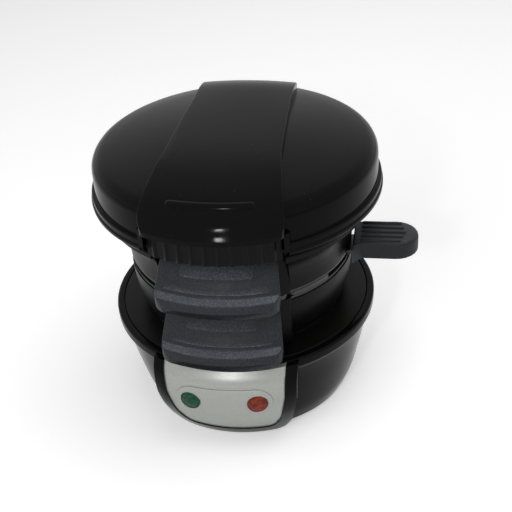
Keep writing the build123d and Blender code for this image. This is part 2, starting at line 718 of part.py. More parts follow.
def bottom_ring_shell():
    low = RING_1_FOOT + LINER_LIP
    high = RING_1_TOP - LINER_LIP
    third = (high - low) / 3
    shell = lathe(
        Line((LINER_R, 0, low), (FOOT_R, 0, low)),
        Spline(
            (FOOT_R, 0, low), (FOOT_R + 3.2, 0, low + third),
            (WAIST_R - 0.6, 0, low + 2 * third), (WAIST_R, 0, high),
        ),
        Line((WAIST_R, 0, high), (LINER_R, 0, high)),
        Line((LINER_R, 0, high), (LINER_R, 0, low)),
    )
    shell = shell + handle_root(low, RING_1_TOP)
    arm = [
        (FOOT_R - 1.0, low + 4.0), (FOOT_R - 1.0, RING_1_TOP - 1.0), (PIN_Y - KNUCKLE_R, RING_1_TOP - 1.0),
        (PIN_Y, PIN_Z + KNUCKLE_R * 0.7), (PIN_Y + 1.0, PIN_Z - KNUCKLE_R * 0.95),
    ]
    right, left = knuckles(RING_1_KNUCKLE, arm, RUN_GAP)
    shell = shell + right + left
    shell = shell - tube(LINER_R + SEAT_GAP, 0.0, 0.0, BEYOND)
    shell = shell - tube(WAIST_R - 0.5, 0.0, high, BEYOND)
    shell = cut_handle_screws(shell, HANDLE_1_TOP - HANDLE_FOOT_DROP)
    return shell


def bottom_ring_liner():
    return ring_liner(RING_1_FOOT, RING_1_TOP, FOOT_R - 0.6, WAIST_R - 0.6)


def top_ring_shell():
    low = RING_2_FOOT + LINER_LIP
    high = RING_2_TOP
    neck = high - COLLAR_HEIGHT
    rise = neck - low
    flare = COLLAR_R - WAIST_R
    shell = lathe(
        Line((LINER_R, 0, low), (WAIST_R, 0, low)),
        Spline(
            (WAIST_R, 0, low), (WAIST_R + flare * 0.08, 0, low + rise * 0.35),
            (WAIST_R + flare * 0.32, 0, low + rise * 0.7), (COLLAR_R, 0, neck),
        ),
        Line((COLLAR_R, 0, neck), (COLLAR_R, 0, high)),
        Line((COLLAR_R, 0, high), (LINER_R, 0, high)),
        Line((LINER_R, 0, high), (LINER_R, 0, low)),
    )
    rim = shell.edges().filter_by(GeomType.CIRCLE).group_by(Axis.Z)[-1].sort_by(SortBy.LENGTH)[-1]
    shell = fillet(rim, min(EDGE_ROUND, COLLAR_HEIGHT * 0.4))
    flare_front = front_sector(COLLAR_R + 1.0, low - 1.0, high + 1.0)
    shell = shell - (flare_front - rod(ROOT_FACE, (0, 0, 0), (0, 0, BEYOND)))
    shell = shell + handle_root(low - LINER_LIP, high)
    arm = [
        (WAIST_R - 3.0, low + 1.0), (WAIST_R - 3.0, neck - 3.0), (COLLAR_R - 1.0, neck - 4.0),
        (PIN_Y + KNUCKLE_R * 0.7, PIN_Z + KNUCKLE_R * 0.7),
        (PIN_Y - KNUCKLE_R * 0.8, PIN_Z - KNUCKLE_R * 0.6),
    ]
    right, left = knuckles(RING_2_KNUCKLE, arm, RUN_GAP)
    shell = shell + right + left
    shell = shell - tube(LINER_R + SEAT_GAP, 0.0, 0.0, BEYOND)
    shell = shell - tube(WAIST_R - 0.5, 0.0, 0.0, low)
    shell = shell - tube(WAIST_R - 0.5, 0.0, high - LINER_LIP, BEYOND)
    shell = cut_handle_screws(shell, HANDLE_2_TOP - HANDLE_FOOT_DROP)
    return shell - rod(PIVOT_R + 0.02, (PIVOT_X, PIVOT_Y, 0), (PIVOT_X, PIVOT_Y, PIVOT_PIN_TOP + 1.0))


def top_ring_liner():
    liner = ring_liner(RING_2_FOOT, RING_2_TOP, WAIST_R - 0.6, WAIST_R - 0.6)
    lip_top = RING_2_FOOT + LINER_LIP
    return liner - rod(PIVOT_R + SEAT_GAP, (PIVOT_X, PIVOT_Y, 0), (PIVOT_X, PIVOT_Y, lip_top))


def handle_body(top, lip_drop):
    """Handle round the drum axis: a foot plate on the block, a slope, a flatter ledge, a nose and a thin lip."""
    foot = top - HANDLE_FOOT_DROP
    root = HANDLE_FACE + HANDLE_SHEET
    lip = HANDLE_FACE + HANDLE_REACH
    lip_foot = top - lip_drop
    ledge_r, ledge_z = handle_ledge(top, lip_drop)
    ring = lathe_points(
        (HANDLE_FACE, top), (root + 1.0, top), (ledge_r, ledge_z), (lip - 1.4, ledge_z - 2.2),
        (lip, lip_foot + HANDLE_LIP_SHEET), (lip, lip_foot), (lip - 3.0, lip_foot), (lip - 5.5, lip_foot + 3.5),
        (root, top - 8.5), (root, foot), (HANDLE_FACE, foot),
    )
    corners = [
        (-HANDLE_ROOT_HALF, -HANDLE_FACE * 0.8), (HANDLE_ROOT_HALF, -HANDLE_FACE * 0.8),
        (HANDLE_LIP_HALF, -lip - 5.0), (-HANDLE_LIP_HALF, -lip - 5.0),
    ]
    edge = Polyline(*[(x, y, 0) for x, y in corners], close=True)
    plan = make_face(edge) & Circle(lip)
    plan = fillet(plan.vertices().group_by(Axis.Y)[0], HANDLE_CORNER)
    return ring & extrude(plan, BEYOND, dir=(0, 0, 1))


def handle_ledge(top, lip_drop):
    """Radius and height at which a handle's slope turns into its ledge."""
    return HANDLE_FACE + HANDLE_REACH - 5.2, top - lip_drop + HANDLE_LIP_SHEET + 5.7


def arc_ridge(radius, height, half):
    """Round ridge that follows a circle about the drum axis at the front."""
    turn = math.degrees(half / radius)
    section = Plane.XZ * Pos(radius, height) * Circle(RIDGE_R)
    return Rot(0, 0, -90.0 - turn) * revolve(section, Axis.Z, revolution_arc=2 * turn)


def ring_handle(top, lip_drop):
    """Handle with two raised ridges across its slope and holes for its screws."""
    handle = handle_body(top, lip_drop)
    root = HANDLE_FACE + HANDLE_SHEET + 1.0
    ledge_r, ledge_z = handle_ledge(top, lip_drop)
    for share, half in ((0.42, HANDLE_ROOT_HALF * 0.65), (0.88, HANDLE_ROOT_HALF * 0.95)):
        handle = handle + arc_ridge(root + (ledge_r - root) * share, top + (ledge_z - top) * share, half)
    z = top - HANDLE_FOOT_DROP + HANDLE_SCREW_LIFT
    for turn in handle_screw_turns():
        handle = handle - turn * rod(SCREW_R + SCREW_HOLE, (0, -ROOT_FACE, z), (0, -ROOT_FACE - 4.6, z))
    return handle


PIVOT_PIN_TOP = RING_2_FOOT + 14.0


def plate_pivot_pin():
    """Pin fixed in the top ring's block, with a head sunk in the underside of the plate."""
    pin = rod(PIVOT_R, (PIVOT_X, PIVOT_Y, PLATE_FOOT), (PIVOT_X, PIVOT_Y, PIVOT_PIN_TOP))
    head = rod(PIVOT_HEAD_R, (PIVOT_X, PIVOT_Y, PLATE_FOOT), (PIVOT_X, PIVOT_Y, PLATE_FOOT + PIVOT_HEAD))
    return pin + head


# ---- cooking plate ----

RIVET_X = [SIDE_ROOT + 9.0, SIDE_ROOT + 21.0]


def cooking_plate():
    """Round plate with a tongue for its handle and an eye for its pivot."""
    disc = Pos(0, 0, PLATE_FOOT) * extrude(Circle(PLATE_R), PLATE_SHEET)
    reach = SIDE_ROOT + SIDE_HANDLE_LENGTH - 8.0
    tongue_y = (SIDE_HANDLE_Y - TONGUE_HALF, SIDE_HANDLE_Y + TONGUE_HALF)
    tongue = block((BORE * 0.6, reach), tongue_y, (PLATE_FOOT, PLATE_TOP))
    eye_r = PIVOT_IN - RUN_GAP
    eye = rod(eye_r, (PIVOT_X, PIVOT_Y, PLATE_FOOT), (PIVOT_X, PIVOT_Y, PLATE_TOP))
    web = block((PIVOT_X - eye_r, BORE), (PIVOT_Y, tongue_y[0]), (PLATE_FOOT, PLATE_TOP))
    web = web & rod(WAIST_R - WEB_INSET, (0, 0, PLATE_FOOT), (0, 0, PLATE_TOP))
    plate = disc + tongue + eye + web
    plate = plate - rod(PIVOT_R + RUN_GAP, (PIVOT_X, PIVOT_Y, 0), (PIVOT_X, PIVOT_Y, BEYOND))
    sunk = PLATE_FOOT + PIVOT_HEAD + SEAT_GAP
    plate = plate - rod(PIVOT_HEAD_R + SEAT_GAP, (PIVOT_X, PIVOT_Y, 0), (PIVOT_X, PIVOT_Y, sunk))
    for x in RIVET_X:
        plate = plate - rod(SCREW_R + SCREW_HOLE, (x, SIDE_HANDLE_Y, 0), (x, SIDE_HANDLE_Y, BEYOND))
    return plate


def plate_handle():
    """Side handle with a round tip, a flared root and ridges along its top."""
    low = PLATE_FOOT
    high = low + SIDE_HANDLE_HEIGHT
    end = SIDE_ROOT + SIDE_HANDLE_LENGTH
    half = SIDE_HANDLE_HALF
    y = SIDE_HANDLE_Y
    edge = [
        Line((SIDE_ROOT, y + half * 0.9), (end - half, y + half)),
        ThreePointArc((end - half, y + half), (end, y), (end - half, y - half)),
        Line((end - half, y - half), (SIDE_ROOT + 5.0, y - half)),
        Line((SIDE_ROOT + 5.0, y - half), (SIDE_ROOT - 1.5, y - half - 7.0)),
        Line((SIDE_ROOT - 1.5, y - half - 7.0), (SIDE_ROOT, y + half * 0.9)),
    ]
    handle = rising(edge, low, high)
    handle = handle - tube(SIDE_ROOT, 0.0, 0.0, BEYOND)
    handle = fillet(handle.edges().group_by(Axis.Z)[-1], EDGE_ROUND)
    for row in range(5):
        ridge_y = y + (row - 2) * half * 0.36
        start = SIDE_ROOT + 4.0
        ridge = rod(0.9, (start, ridge_y, high), (end - half * 0.75, ridge_y, high))
        handle = handle + ridge
    reach = SIDE_ROOT + SIDE_HANDLE_LENGTH - 8.0 + SEAT_GAP
    slot_y = (y - TONGUE_HALF - SEAT_GAP, y + TONGUE_HALF + SEAT_GAP)
    handle = handle - block((0.0, reach), slot_y, (0.0, PLATE_TOP + SEAT_GAP))
    web_y = (y - half * 2, y)
    handle = handle - block((0.0, SIDE_ROOT + 3.0), web_y, (0.0, PLATE_TOP + SEAT_GAP))
    for x in RIVET_X:
        handle = handle - rod(SCREW_R + SCREW_HOLE, (x, y, 0), (x, y, PLATE_TOP + 4.0))
    return handle


def plate_rivets():
    """Two rivets from below, through the tongue into the handle."""
    solids = []
    for x in RIVET_X:
        shank = rod(SCREW_R, (x, SIDE_HANDLE_Y, PLATE_FOOT - 0.1), (x, SIDE_HANDLE_Y, PLATE_TOP + 3.8))
        head_z = (PLATE_FOOT - 1.0, PLATE_FOOT - 0.02)
        head = rod(SCREW_HEAD_R, (x, SIDE_HANDLE_Y, head_z[0]), (x, SIDE_HANDLE_Y, head_z[1]))
        solids.append(shank + head)
    return group(solids)


# ---- lid ----

def crown_height(radius, inset=0.0):
    """Height of the crown's arc at a radius."""
    wall = DOME_R - inset
    ball = (wall ** 2 + EDGE_DROP ** 2) / (2 * EDGE_DROP)
    return CROWN - inset - ball + math.sqrt(ball ** 2 - radius ** 2)


def dome_body(inset=0.0, foot=LID_FOOT - 20.0):
    """Solid under the dome, drawn in by the inset."""
    wall = DOME_R - inset
    edge = (wall, 0, crown_height(wall, inset))
    middle = (wall / 2, 0, crown_height(wall / 2, inset))
    crown = (0, 0, CROWN - inset)
    section = make_face(Wire([
        ThreePointArc(crown, middle, edge),
        Line(edge, (wall, 0, foot)),
        Line((wall, 0, foot), (0, 0, foot)),
        Line((0, 0, foot), crown),
    ]))
    corner = section.vertices().sort_by(lambda v: (v.X, v.Z))[-1]
    return revolve(fillet(corner, SHOULDER_R - inset), Axis.Z)


LID_SCREW_R = DOME_R - LID_WALL - 3.4
LID_SCREW_ANGLES = [40, 140, 220, 320]
SHELF_Z = LID_FOOT + 3.9
BAND_SCREW_Y = (-34.0, 34.0)


def rim_notch(low, high, inner):
    """Space at the front of the lid, outside an inner radius."""
    return block((-NOTCH_HALF, NOTCH_HALF), (-BEYOND, -BORE), (low, high)) - tube(inner, 0.0, 0.0, BEYOND)


def lid_shell():
    shell = dome_body(0.0, RIM_FOOT) + tube(RIM_R, 0.0, RIM_FOOT, RIM_TOP)
    rim = shell.edges().filter_by(GeomType.CIRCLE).filter_by(lambda e: e.radius > RIM_R - 0.1)
    shell = fillet(rim, min(EDGE_ROUND, LID_RIM_HEIGHT * 0.2))
    shell = shell - dome_body(LID_WALL, RIM_FOOT - 5.0)
    shell = shell - rim_notch(RIM_FOOT - 5.0, NOTCH_TOP, DOME_R - LID_WALL - SEAT_GAP)
    for angle in LID_SCREW_ANGLES:
        x, y = polar(LID_SCREW_R, angle)
        boss = rod(3.6, (x, y, SHELF_Z + LINER_SHEET + SEAT_GAP), (x, y, WALL_TOP + 1.0))
        shell = shell + (boss & dome_body(0.5, LID_FOOT))
        shell = shell - rod(SCREW_R + SCREW_HOLE, (x, y, 0), (x, y, SHELF_Z + 14.0))
    for y in BAND_SCREW_Y:
        shell = shell - rod(SCREW_R + SCREW_HOLE, (0, y, LID_FOOT), (0, y, BEYOND))
    for x in ARM_SCREW_X:
        shell = shell - rod(SCREW_R + SCREW_HOLE, (x, BORE, ARM_SCREW_Z), (x, BEYOND, ARM_SCREW_Z))
    return shell


def lid_band():
    """Raised tapered band over the dome, from the rear edge to the overhanging front lip."""
    lip = LID_FOOT + BAND_LIP_Z
    reach = DOME_R + BAND_LIP_REACH
    rear_y = math.sqrt(DOME_R ** 2 - BAND_REAR_HALF ** 2) - 1.0
    crest = [
        (rear_y, CROWN - 5.0), (DOME_R * 0.74, BAND_TOP - 1.8), (DOME_R * 0.4, BAND_TOP),
        (-DOME_R * 0.4, BAND_TOP - 0.8), (-DOME_R * 0.8, BAND_TOP - 5.4),
        (-DOME_R, BAND_TOP - 12.2), (-reach, lip),
    ]
    crest = [(0, y, z) for y, z in crest]
    under = NOTCH_TOP
    rear = (0, rear_y, CROWN - 16.0)
    section = make_face(Wire([
        Spline(*crest),
        Line(crest[-1], (0, 1.2 - reach, under)),
        Line((0, 1.2 - reach, under), (0, -BORE, under)),
        Line((0, -BORE, under), rear),
        Line(rear, crest[0]),
    ]))
    solid = extrude(section, BEYOND / 2, dir=(1, 0, 0), both=True)
    solid = solid - dome_body(inset=-SEAT_GAP / 2)
    front_y = -math.sqrt(reach ** 2 - BAND_FRONT_HALF ** 2)
    plan = [
        (BAND_REAR_HALF, rear_y), (BAND_REAR_HALF, DOME_R * 0.4), (BAND_REAR_HALF + 2.3, -DOME_R * 0.4),
        (BAND_REAR_HALF + 5.9, -DOME_R * 0.92),
    ]
    mirrored = [(-x, y) for x, y in reversed(plan)]
    corner = (BAND_FRONT_HALF, front_y)
    edge = [
        Spline(*plan),
        Line(plan[-1], corner),
        ThreePointArc(corner, (0, -reach), (-BAND_FRONT_HALF, front_y)),
        Line((-BAND_FRONT_HALF, front_y), mirrored[0]),
        Spline(*mirrored),
        Line(mirrored[-1], plan[0]),
    ]
    solid = solid & rising(edge, 0.0, BEYOND)
    pill_y = -DOME_R * 0.93
    pill_z = BAND_TOP - 9.2
    pill = rod(PILL_R, (-PILL_HALF, pill_y, pill_z), (PILL_HALF, pill_y, pill_z))
    for x in (-PILL_HALF, PILL_HALF):
        pill = pill + Pos(x, pill_y, pill_z) * Sphere(PILL_R)
    solid = solid + (pill - dome_body(inset=-SEAT_GAP / 2))
    for y in BAND_SCREW_Y:
        solid = solid - rod(SCREW_R + SCREW_HOLE, (0, y, LID_FOOT), (0, y, CROWN + BAND_RISE - 2.4))
    return solid


def lid_grip():
    """Ribbed wall under the band's lip, standing in the notch of the rim."""
    high = NOTCH_TOP - SEAT_GAP
    low = LID_FOOT + 2.0
    outer = DOME_R + 0.2
    inner = DOME_R - LID_WALL
    grip = tube(outer, inner, low, high) & block((-GRIP_HALF, GRIP_HALF), (-BEYOND, 0), (0, BEYOND))
    pitch = math.degrees(GRIP_PITCH / outer)
    for row in range(10):
        rib = rod(0.9, (0, -outer, low + 0.6), (0, -outer, high - 0.6))
        grip = grip + Rot(0, 0, (row - 4.5) * pitch) * rib
    return grip


def lid_liner():
    """Pan that closes the lid from below, round the top plate."""
    plate_edge = BORE + 5.9
    step = BORE + 13.0
    outer = DOME_R - LID_WALL - SEAT_GAP - 0.2
    pan = lathe_points(
        (plate_edge, LID_FOOT), (step, LID_FOOT), (step + 1.6, SHELF_Z), (outer, SHELF_Z),
        (outer, SHELF_Z + LINER_SHEET), (step, SHELF_Z + LINER_SHEET), (step - 1.6, LID_FOOT + LINER_SHEET),
        (plate_edge, LID_FOOT + LINER_SHEET),
    )
    for angle in LID_SCREW_ANGLES:
        x, y = polar(LID_SCREW_R, angle)
        pan = pan - rod(SCREW_R + SCREW_HOLE, (x, y, 0), (x, y, BEYOND))
    return pan


def lid_screws():
    one = Rot(180, 0, 0) * screw(12.0)
    return group([Pos(*polar(LID_SCREW_R, angle), SHELF_Z) * one for angle in LID_SCREW_ANGLES])


def top_plate():
    return lid_side(heater_plate(BORE + 5.7, BORE + 8.8, -LINER_SHEET - SEAT_GAP))


def band_screws():
    """Two screws from inside the dome up into the band."""
    one = Rot(180, 0, 0) * screw(6.0, head=1.5)
    solids = []
    for y in BAND_SCREW_Y:
        rise = crown_height(abs(y) + SCREW_HEAD_R, LID_WALL) - SEAT_GAP
        solids.append(Pos(0, y, rise) * one)
    return group(solids)


ARM_SCREW_X = (-9.0, 9.0)
ARM_SCREW_Z = RIM_TOP + 6.0


def lid_hinge_arm():
    """Cross block on the back of the lid with two arms down to the pin."""
    half = knuckle_x(LID_KNUCKLE)[1]
    block_foot = LID_FOOT + 2.4
    cross = block((-half, half), (BORE, DOME_R + 10.0), (block_foot, WALL_TOP - 0.5))
    top_edge = cross.edges().filter_by(Axis.X).group_by(Axis.Z)[-1].sort_by(Axis.Y)[-1]
    cross = chamfer(top_edge, 5.0)
    arm = [
        (COLLAR_R + 2.0, block_foot + 3.0), (DOME_R + 10.0, block_foot + 3.0),
        (PIN_Y + KNUCKLE_R * 0.9, PIN_Z + 2.0), (PIN_Y - KNUCKLE_R * 0.9, PIN_Z - 2.0),
        (COLLAR_R + 2.0, PIN_Z + 14.0),
    ]
    right, left = knuckles(LID_KNUCKLE, arm, RUN_GAP)
    hinge = cross + right + left
    hinge = hinge - dome_body(-0.02) - tube(RIM_R + 0.05, 0.0, RIM_FOOT - 0.05, RIM_TOP + 0.05)
    hinge = hinge - tube(DOME_R - 2.0, 0.0, 0.0, BEYOND)
    for x in ARM_SCREW_X:
        hinge = hinge - rod(SCREW_R + SCREW_HOLE, (x, 0, ARM_SCREW_Z), (x, DOME_R + 6.0, ARM_SCREW_Z))
    return hinge


def arm_screws():
    """Two screws from inside the lid into the hinge arm."""
    one = Rot(90, 0, 0) * screw(7.0)
    solids = []
    for x in ARM_SCREW_X:
        y = math.sqrt((DOME_R - LID_WALL) ** 2 - x ** 2) - 0.8
        solids.append(Pos(x, y, ARM_SCREW_Z) * one)
    return group(solids)


# ---- write every piece ----

save("base_shell", base_shell())
save("base_deck", base_deck())
save("bottom_cover", bottom_cover())
save("foot_ring", foot_ring())
save("cover_screws", cover_screws())
save("panel_housing", panel_housing())
save("control_panel", control_panel())
save("preheat_lens", lens(-1))
save("power_lens", lens(1))
save("preheat_lamp", lamp(-1))
save("power_lamp", lamp(1))
save("lamp_bracket", lamp_bracket())
save("bottom_plate", bottom_plate())
save("bottom_element", bottom_side(Pos(0, 0, ELEMENT_Z) * element()))
save("bottom_reflector", bottom_side(reflector()))
save("bottom_plate_screws", group([bottom_side(one) for one in plate_screws()]))
save("base_thermostat", bottom_side(thermostat()))
save("base_thermal_fuse", bottom_side(thermal_fuse()))
save("terminal_block", terminal_block())
save("cord_gland", cord_gland())
save("hinge_bracket", hinge_bracket())
save("bracket_screws", bracket_screws())
save("hinge_pin", hinge_pin())
save("hinge_caps", hinge_caps())

save("bottom_ring_shell", bottom_ring_shell())
save("bottom_ring_liner", bottom_ring_liner())
save("bottom_ring_handle", ring_handle(HANDLE_1_TOP, HANDLE_DROP + 1.0))
save("bottom_handle_screws", handle_screws(HANDLE_1_TOP - HANDLE_FOOT_DROP))

save("top_ring_shell", top_ring_shell())
save("top_ring_liner", top_ring_liner())
save("top_ring_handle", ring_handle(HANDLE_2_TOP, HANDLE_DROP))
save("top_handle_screws", handle_screws(HANDLE_2_TOP - HANDLE_FOOT_DROP))
save("plate_pivot_pin", plate_pivot_pin())

save("cooking_plate", cooking_plate())
save("plate_handle", plate_handle())
save("plate_rivets", plate_rivets())

save("lid_shell", lid_shell())
save("lid_band", lid_band())
save("lid_grip", lid_grip())
save("lid_liner", lid_liner())
save("lid_screws", lid_screws())
save("top_plate", top_plate())
save("top_element", lid_side(Pos(0, 0, ELEMENT_Z) * element()))
save("lid_reflector", lid_side(reflector()))
save("top_plate_screws", group([lid_side(one) for one in plate_screws()]))
save("lid_thermostat", lid_side(thermostat()))
save("lid_thermal_fuse", lid_side(thermal_fuse()))
save("band_screws", band_screws())
save("lid_hinge_arm", lid_hinge_arm())
save("arm_screws", arm_screws())
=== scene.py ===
"""Breakfast sandwich maker: a bowl-shaped base, two cooking rings with a plate between them, and a domed lid."""

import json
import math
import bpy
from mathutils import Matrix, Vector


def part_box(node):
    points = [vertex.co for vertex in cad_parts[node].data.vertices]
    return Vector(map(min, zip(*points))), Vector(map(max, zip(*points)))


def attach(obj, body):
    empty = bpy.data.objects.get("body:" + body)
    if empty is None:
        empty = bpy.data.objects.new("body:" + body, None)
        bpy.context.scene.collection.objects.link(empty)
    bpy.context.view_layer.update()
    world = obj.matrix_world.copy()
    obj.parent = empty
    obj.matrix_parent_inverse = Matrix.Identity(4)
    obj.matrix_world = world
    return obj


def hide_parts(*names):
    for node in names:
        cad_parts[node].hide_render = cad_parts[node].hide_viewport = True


bl_info = {
    "name": "Breakfast Sandwich Maker",
    "version": (1, 0, 0),
    "blender": (4, 5, 0),
    "location": "3D View > Sidebar > Sandwich Maker",
    "description": "Models the shells, handles, control panel and lights of a breakfast sandwich maker",
    "category": "Object",
}

import bmesh
import bpy
from mathutils import Matrix, Vector

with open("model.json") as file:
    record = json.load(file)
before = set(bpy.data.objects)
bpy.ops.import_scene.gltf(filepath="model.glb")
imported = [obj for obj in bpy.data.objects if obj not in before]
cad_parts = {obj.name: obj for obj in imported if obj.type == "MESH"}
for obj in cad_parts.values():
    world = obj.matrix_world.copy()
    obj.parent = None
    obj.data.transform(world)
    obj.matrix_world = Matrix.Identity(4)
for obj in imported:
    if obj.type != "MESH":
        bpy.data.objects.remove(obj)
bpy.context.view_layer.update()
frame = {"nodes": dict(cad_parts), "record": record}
MM = 0.001
TURN_STEPS = 144                 # steps of a full turn
ARC_STEP = math.radians(15)      # turn of each short edge in a rounded corner
LIP_STEP = 5 * MM                # from one point of the band's lip to the next, seen from the front
BEYOND = 0.2                     # further than the object reaches, for cutting right through


# ---- places read from the frame ----

def low(node):
    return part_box(node)[0]


def high(node):
    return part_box(node)[1]


BOWL_FOOT = low("base_shell").z
DECK_TOP = high("base_deck").z
DECK_FOOT = low("base_deck").z
DECK_RADIUS = high("base_deck").x
FLANGE_RADIUS = high("base_shell").x
BORE = high("bottom_plate").x - 2.9 * MM
RING_1_TOP = high("bottom_ring_liner").z
RING_2_TOP = high("top_ring_liner").z
RIM_FOOT = low("lid_shell").z
RIM_RADIUS = high("lid_shell").x
CROWN = high("lid_shell").z
BAND_TOP = high("lid_band").z
BAND_UNDER = low("lid_band").z
LIP_RADIUS = -low("lid_band").y
GRIP_FOOT, GRIP_TOP = low("lid_grip").z, high("lid_grip").z
HANDLE_LIP_RADIUS = -low("top_ring_handle").y
FIELD_RADIUS = -low("control_panel").y
HANDLE_LOW, HANDLE_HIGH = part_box("plate_handle")


# ---- settings ----

def length(name, description, millimetres):
    return bpy.props.FloatProperty(
        name=name, description=description, default=millimetres * MM, unit="LENGTH", precision=4
    )


def colour(name, description, value):
    return bpy.props.FloatVectorProperty(
        name=name, description=description, default=value, size=3, subtype="COLOR", min=0, max=1
    )


class LidSettings(bpy.types.PropertyGroup):
    wall: length("Wall", "Thickness of the dome", 2.5)
    rim_step: length("Rim step", "How far the rim stands out from the dome's wall", 2.5)
    rim_height: length("Rim height", "Height of the rim", 6.5)
    edge_drop: length("Edge drop", "Crown to where its arc would meet the wall", 6.7)
    shoulder: length("Shoulder", "Rounding between the wall and the crown", 7.5)
    notch_half: length("Notch", "Half width of the front notch under the band", 34.2)
    notch_flare: length("Notch flare", "Rounding where the notch meets the rim's lower edge", 2.2)
    bead: length("Bead", "Width of the bead along the rim's foot and up the notch's sides", 2.6)
    band_rear_half: length("Band rear", "Half width of the band at the rear", 26.6)
    band_front_half: length("Band front", "Half width of the band at its lip", 35.5)
    band_corner: length("Band corner", "Rounding of the band's front corners seen from above", 6.0)
    band_edge: length("Band edge", "Rounding of the band's long edges", 1.8)
    band_crown: length("Band crown", "How far the band's long edges lie below its middle", 0.9)
    band_rear_crown: length("Rear crown", "The same, more, at the band's rear end", 1.8)
    lip: length("Lip", "Thickness of the band's lip", 2.4)
    lip_rise: length("Lip rise", "Rim's foot to the upper edge of the band's lip", 14.7)
    pad_half: length("Pad half length", "Half length of the raised pad near the band's front", 22.0)
    pad_radius: length("Pad radius", "Radius of that pad's round back", 3.0)
    pad_sink: length("Pad sink", "How far the pad's centre lies under the band", 2.0)
    grip_half: length("Grip half width", "Half width of the ribbed wall under the lip", 33.0)
    grip_pitch: length("Grip pitch", "From one rib of the ribbed wall to the next", 6.6)


class HandleSettings(bpy.types.PropertyGroup):
    root_half: length("Root half width", "Half width where a ring's handle meets its block", 28.0)
    lip_half: length("Lip half width", "Half width at the lip", 32.5)
    corner: length("Corner", "Rounding of the lip's corners seen from above", 6.5)
    sheet: length("Sheet", "Thickness of the foot plate", 5.0)
    foot_height: length("Foot height", "Height of the foot plate that is screwed to the ring", 19.0)
    reach: length("Reach", "From the block's face to the lip", 21.3)
    edge: length("Edge", "Rounding of the handle's side edges", 1.0)
    ridge: length("Ridge", "Height of the ridges across the slope", 0.9)
    rib: length("Rib", "Half thickness of the ribs along the side handle", 0.95)


class BaseSettings(bpy.types.PropertyGroup):
    flange: length("Flange", "Thickness of the flange", 6.0)
    bowl_top: length("Bowl top", "Radius of the bowl under the flange", 72.0)
    bowl_foot: length("Bowl foot", "Radius of the bowl at its lower edge", 59.0)
    wall: length("Wall", "Thickness of the bowl", 2.5)
    ledge: length("Ledge", "Width of the ledge that carries the deck", 3.0)
    frame_half: length("Frame half width", "Half width of the gloss frame", 38.0)
    field_half: length("Field half width", "Half width of the silver panel", 32.2)
    field_foot: length("Field foot", "Table to the lower edge of the silver panel", 10.5)
    field_sink: length("Field sink", "Silver surface behind the frame's surface", 0.7)
    panel_wall: length("Panel wall", "Thickness of the frame and the silver panel", 2.2)
    pad_half: length("Pad half height", "Half height of the raised pad round the lights", 9.4)
    pad_end: length("Pad end", "From the middle of a light to the end of the pad", 7.9)
    pad_rise: length("Pad rise", "How far the pad stands out of the silver surface", 0.6)
    light_x: length("Light place", "From the middle to each light", 17.8)
    light_drop: length("Light drop", "From the deck down to the lights", 18.0)
    light_radius: length("Light radius", "Radius of each light", 5.6)


class FinishSettings(bpy.types.PropertyGroup):
    gloss_black: colour("Gloss black", "Lid, band and bowl", (0.0024, 0.0026, 0.0024))
    satin_black: colour("Satin black", "Rings and deck", (0.0040, 0.0042, 0.0038))
    slate: colour("Slate", "Handles", (0.0115, 0.0135, 0.0165))
    silver: colour("Silver", "Painted control panel", (0.36, 0.375, 0.35))
    green: colour("Green", "Left light", (0.0, 0.105, 0.05))
    orange: colour("Orange", "Right light", (0.34, 0.035, 0.004))
    nonstick: colour("Non-stick", "Coated plates and ring liners", (0.022, 0.022, 0.023))
    steel: colour("Steel", "Screws, pin and rivets", (0.56, 0.56, 0.57))


class MakerSettings(bpy.types.PropertyGroup):
    lid: bpy.props.PointerProperty(name="Lid", type=LidSettings)
    handle: bpy.props.PointerProperty(name="Handles", type=HandleSettings)
    base: bpy.props.PointerProperty(name="Base", type=BaseSettings)
    finish: bpy.props.PointerProperty(name="Finishes", type=FinishSettings)


def settings():
    return bpy.context.scene.sandwich_maker


# ---- outlines ----

def arc(centre, radius, start, end):
    """Points of an arc in a plane, from one angle to the other in degrees, both ends included."""
    turn = math.radians(end - start)
    count = max(2, round(abs(turn) / ARC_STEP))
    angles = [math.radians(start) + turn * step / count for step in range(count + 1)]
    return [(centre[0] + radius * math.cos(a), centre[1] + radius * math.sin(a)) for a in angles]


def eased(corners, closed=True):
    """Outline whose corners, given as (across, up, rounding), are replaced by arcs."""
    points = []
    count = len(corners)
    for place, (across, up, radius) in enumerate(corners):
        here = Vector((across, up))
        if radius == 0 or (not closed and place in (0, count - 1)):
            points.append(tuple(here))
            continue
        before = (Vector(corners[place - 1][:2]) - here).normalized()
        after = (Vector(corners[(place + 1) % count][:2]) - here).normalized()
        half = before.angle(after) / 2
        if math.pi / 2 - half < 0.01:
            points.append(tuple(here))
            continue
        centre = here + (before + after).normalized() * radius / math.sin(half)
        start = here + before * radius / math.tan(half) - centre
        end = here + after * radius / math.tan(half) - centre
        turn = math.atan2(start.x * end.y - start.y * end.x, start.dot(end))
        steps = max(2, round(abs(turn) / ARC_STEP))
        for step in range(steps + 1):
            points.append(tuple(centre + Matrix.Rotation(turn * step / steps, 2) @ start))
    return points


def flow(points, per=6):
    """Smooth open line through a few points, with so many short edges for each stretch."""
    known = [Vector(point) for point in points]
    known = [2 * known[0] - known[1], *known, 2 * known[-1] - known[-2]]
    line = []
    for a, b, c, d in zip(known, known[1:], known[2:], known[3:]):
        for step in range(per):
            t = step / per
            square, cube = 2 * a - 5 * b + 4 * c - d, 3 * b - a - 3 * c + d
            line.append(tuple(0.5 * (2 * b + (c - a) * t + square * t**2 + cube * t**3)))
    line.append(tuple(known[-2]))
    return line


def level_on(line, place):
    """Second value of a line of (place, value) points, at a place between its ends."""
    line = sorted(line)
    for (start, first), (end, second) in zip(line, line[1:]):
        if place <= end:
            return first + (second - first) * max(0.0, place - start) / (end - start)
    return line[-1][1]


